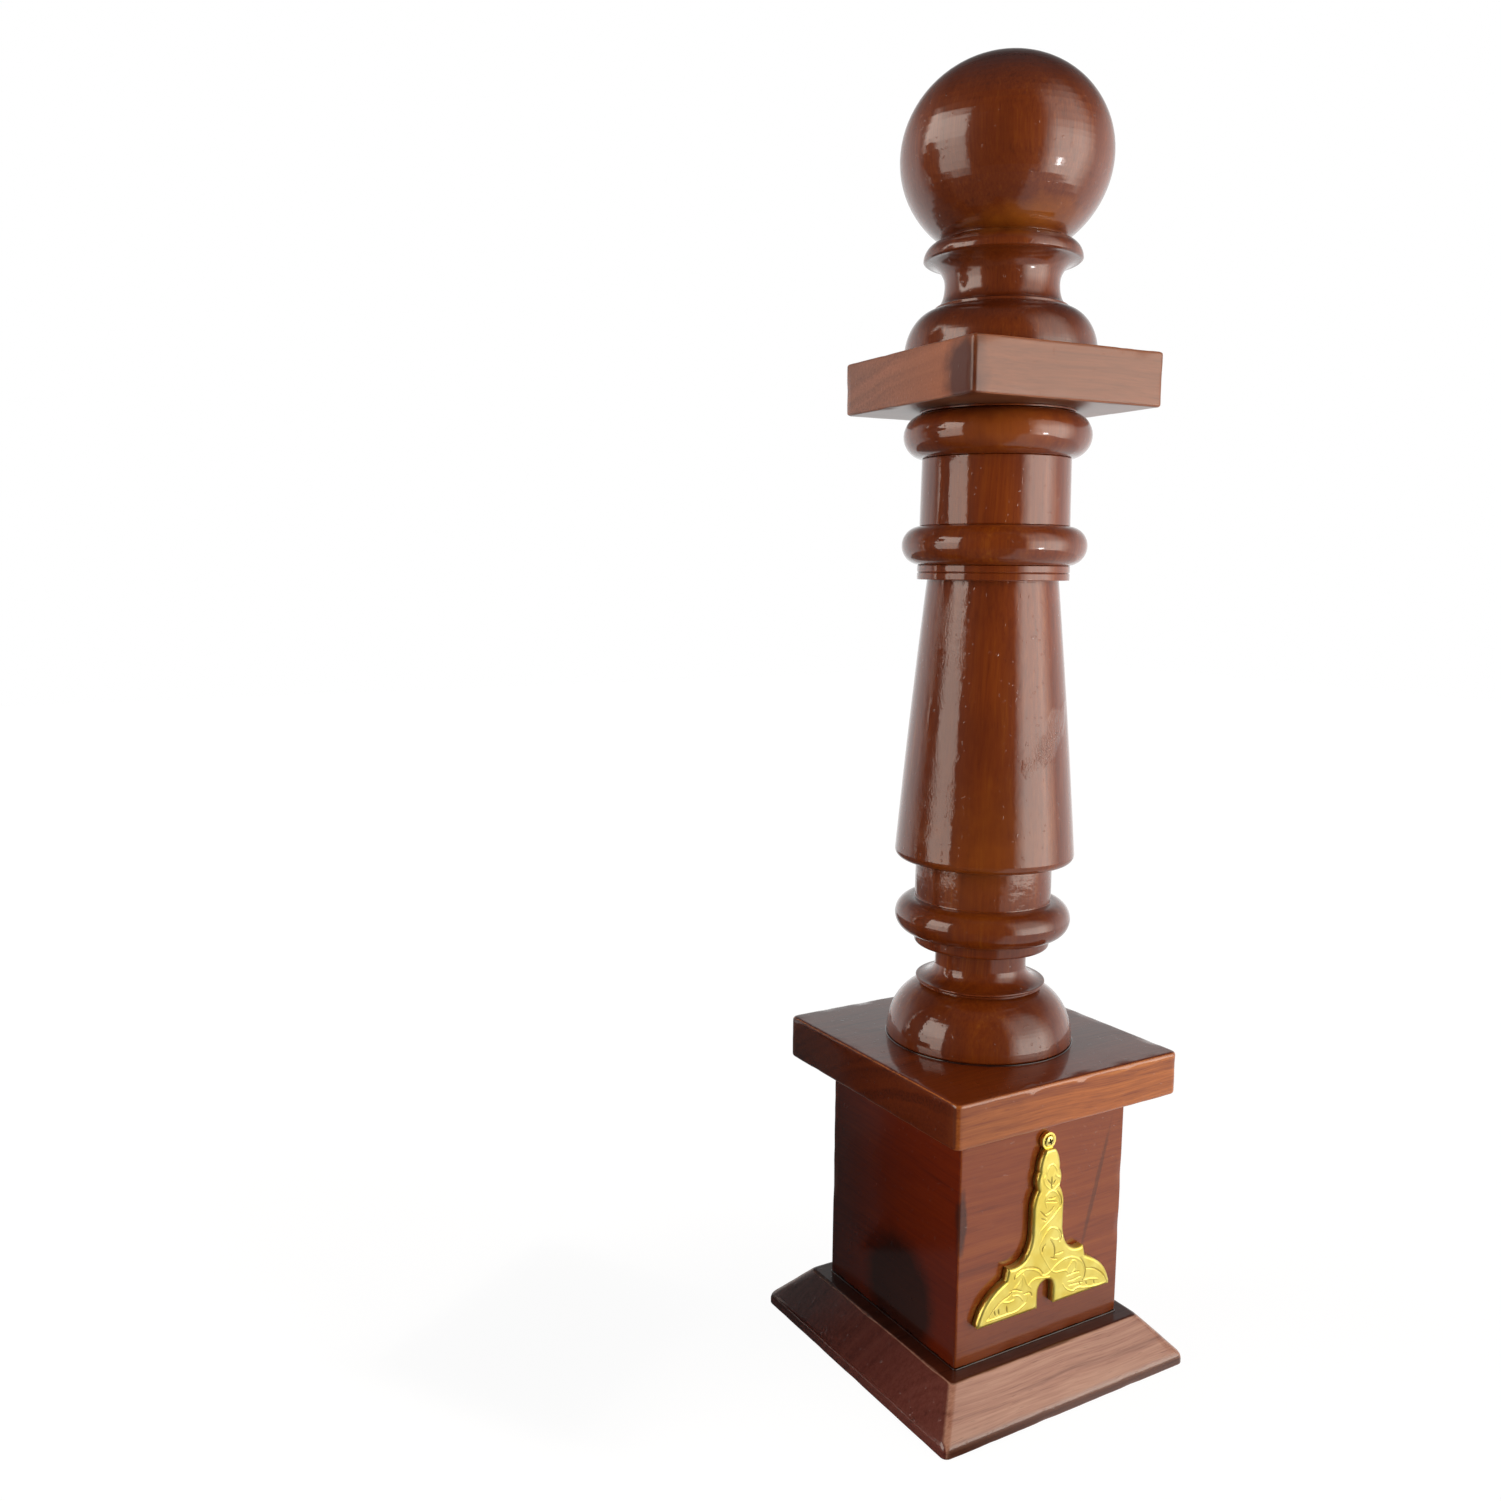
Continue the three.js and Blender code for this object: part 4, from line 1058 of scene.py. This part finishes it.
def emblemPlate(look):
    loop = emblemOutline(look)
    count = len(loop)
    ease = look["ease"]
    tree = kdtree.KDTree(count * 4)
    for i, (a, b) in enumerate(zip(loop, loop[1:] + loop[:1])):
        for k in range(4):
            tree.insert(a.lerp(b, k / 4).to_3d(), i * 4 + k)
    tree.balance()
    # rows of points along the border, left out where another stretch of it is close
    points = list(loop)
    for depth in look["borderDepths"]:
        for i in range(count):
            along = (loop[(i + 1) % count] - loop[i - 1]).normalized()
            place = loop[i] + Vector((-along.y, along.x)) * -depth
            if tree.find(place.to_3d())[2] > depth * 0.8:
                points.append(place)
    cell = look["cell"]
    columns, rows = int(look["gridHalf"] / cell), int(look["gridTop"] / cell)
    for i in range(-columns, columns + 1):
        for j in range(rows):
            place = Vector(((i + 0.5 * (j % 2)) * cell, j * cell))
            if tree.find(place.to_3d())[2] > look["borderClear"]:
                points.append(place)
    border = [(i, (i + 1) % count) for i in range(count)]
    verts, edges, faces, origins, *rest = delaunay_2d_cdt(points, border, [], 1, 1e-5)

    # the face's height: rounded at the border, raised and cut along the lines
    lift, sink = [0.0] * len(verts), [0.0] * len(verts)
    near = kdtree.KDTree(len(verts))
    for i, vert in enumerate(verts):
        near.insert(vert.to_3d(), i)
    near.balance()
    for lines, field, width in ((look["raised"], lift, look["raiseWidth"]),
                                (look["cutLines"], sink, look["cutWidth"])):
        for places in lines:
            line = smoothLine(places, look["lineStep"])
            for k, place in enumerate(line):
                # a line is thinner towards its ends
                thin = width * (0.45 + 0.55 * math.sin(math.pi * min(max(k / len(line), 0.06), 0.94)))
                for _, i, distance in near.find_range(place.to_3d(), look["lineReach"]):
                    field[i] = max(field[i], math.exp(-(distance / thin) ** 2))
    heights = []
    for i, vert in enumerate(verts):
        distance = tree.find(vert.to_3d())[2] if not set(origins[i]) & set(range(count)) else 0.0
        inward = min(distance / ease, 1.0)
        rounding = ease * (1 - math.sqrt(1 - (1 - inward) ** 2))
        carved = look["raise"] * lift[i] - look["cut"] * sink[i]
        heights.append(look["thickness"] - rounding + inward * carved)
    solid = [(v.x, v.y, h) for v, h in zip(verts, heights)]
    rim = {origins[i][0]: i for i in range(len(verts)) if origins[i] and origins[i][0] < count}
    base = len(solid)
    solid += [(*place, 0.0) for place in loop]
    walls = [(rim[k], base + k, base + (k + 1) % count, rim[(k + 1) % count]) for k in range(count)]
    mesh = bpy.data.meshes.new("level_plate")
    mesh.from_pydata([Vector(p) * mm for p in solid], [],
                     [tuple(f) for f in faces] + walls + [tuple(range(base, base + count))])
    dirt = [look["dirt"] * max(s - look["dirtSpared"] * l, 0) for s, l in zip(sink, lift)]
    cut = mesh.attributes.new("cut", "FLOAT", "POINT")
    cut.data.foreach_set("value", dirt + [0.0] * count)
    return tidyMesh(mesh, 1e-7)


def lugOutline(look):
    line = Outline(look["hole"])
    line.to(look["radius"], 0, 0.1).to(look["radius"], look["thickness"], look["ease"])
    line.to(look["sink"], 0, 0.1).to(look["hole"], -look["cone"], 0.1)
    return line


def joined(meshes, name):
    work = bmesh.new()
    for mesh in meshes:
        work.from_mesh(mesh)
    mesh = bpy.data.meshes.new(name)
    work.to_mesh(mesh)
    work.free()
    return mesh


emblemFoot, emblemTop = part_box("level_emblem")
ontoDie = Matrix.Translation((0, emblemTop.y, emblemFoot.z)) @ Matrix.Rotation(math.pi / 2, 4, "X")
lugLook = emblemLook["lug"]
plate = emblemPlate(emblemLook)
lug = turned("lug", lugOutline(lugLook), lugLook, giltBrass)
lug.transform(Matrix.Translation((0, lugLook["height"] * mm, 0)))
emblem = joined([plate, lug], "level_plate")
emblem.transform(ontoDie)
oneFinish(emblem, giltBrass)
makePiece("level_plate", emblem, "level_emblem")

screwLook = {
    **smallTurning, "headRadius": 2.3, "headCone": 1.3, "headDome": 0.85,
    "shankRadius": 1.1, "shankLength": 10, "recessWidth": 0.7, "recessSpan": 2.6,
    "recessDepth": 0.8, "recessTurn": 20, "dirtFrom": 0.5, "slack": 0.1,
}


def screwOutline(look):
    line = Outline()
    shank = look["shankRadius"]
    line.to(shank * 0.6, 0, 0.1).to(shank, shank, 0.2)
    line.to(shank, look["shankLength"] - shank + lugLook["thickness"] - look["headCone"], 0.1)
    line.to(look["headRadius"], look["headCone"], 0.12)
    return line.dome(look["headRadius"], look["headDome"], 6)


def makeScrew(look):
    mesh = turned("screw_blank", screwOutline(look), look, screwBrass)
    top = look["shankLength"] + lugLook["thickness"] + look["headDome"]
    work = bmesh.new()
    for quarter in (0, 90):
        turn = Matrix.Rotation(math.radians(look["recessTurn"] + quarter), 4, "Z")
        size = [s * mm for s in (look["recessWidth"], look["recessSpan"], look["recessDepth"] * 2)]
        place = Matrix.Translation((0, 0, top * mm)) @ turn @ Matrix.Diagonal((*size, 1))
        bmesh.ops.create_cube(work, size=1.0, matrix=place)
    cutterMesh = bpy.data.meshes.new("recess")
    work.to_mesh(cutterMesh)
    work.free()
    screw, cutter = addObject("screw_blank", mesh), addObject("recess", cutterMesh)
    cut = screw.modifiers.new("recess", "BOOLEAN")
    cut.operation, cut.solver, cut.object, cut.use_self = "DIFFERENCE", "EXACT", cutter, True
    done = plainMesh(screw)
    bpy.data.objects.remove(cutter)
    # the floor of the recess is dark with dirt
    dirt = done.attributes.new("cut", "FLOAT", "POINT")
    for vert in done.vertices:
        below = top - vert.co.z / mm
        inside = vert.co.xy.length / mm < look["recessSpan"] / 2 + look["slack"]
        deep = look["dirtFrom"] < below < look["recessDepth"] + look["slack"]
        dirt.data[vert.index].value = float(inside and deep)
    oneFinish(done, screwBrass)
    return done


screw = makeScrew(screwLook)
seat = Matrix.Translation((0, lugLook["height"] * mm, -screwLook["shankLength"] * mm))
screw.transform(ontoDie @ seat)
makePiece("cross_screw", screw, "emblem_screw")
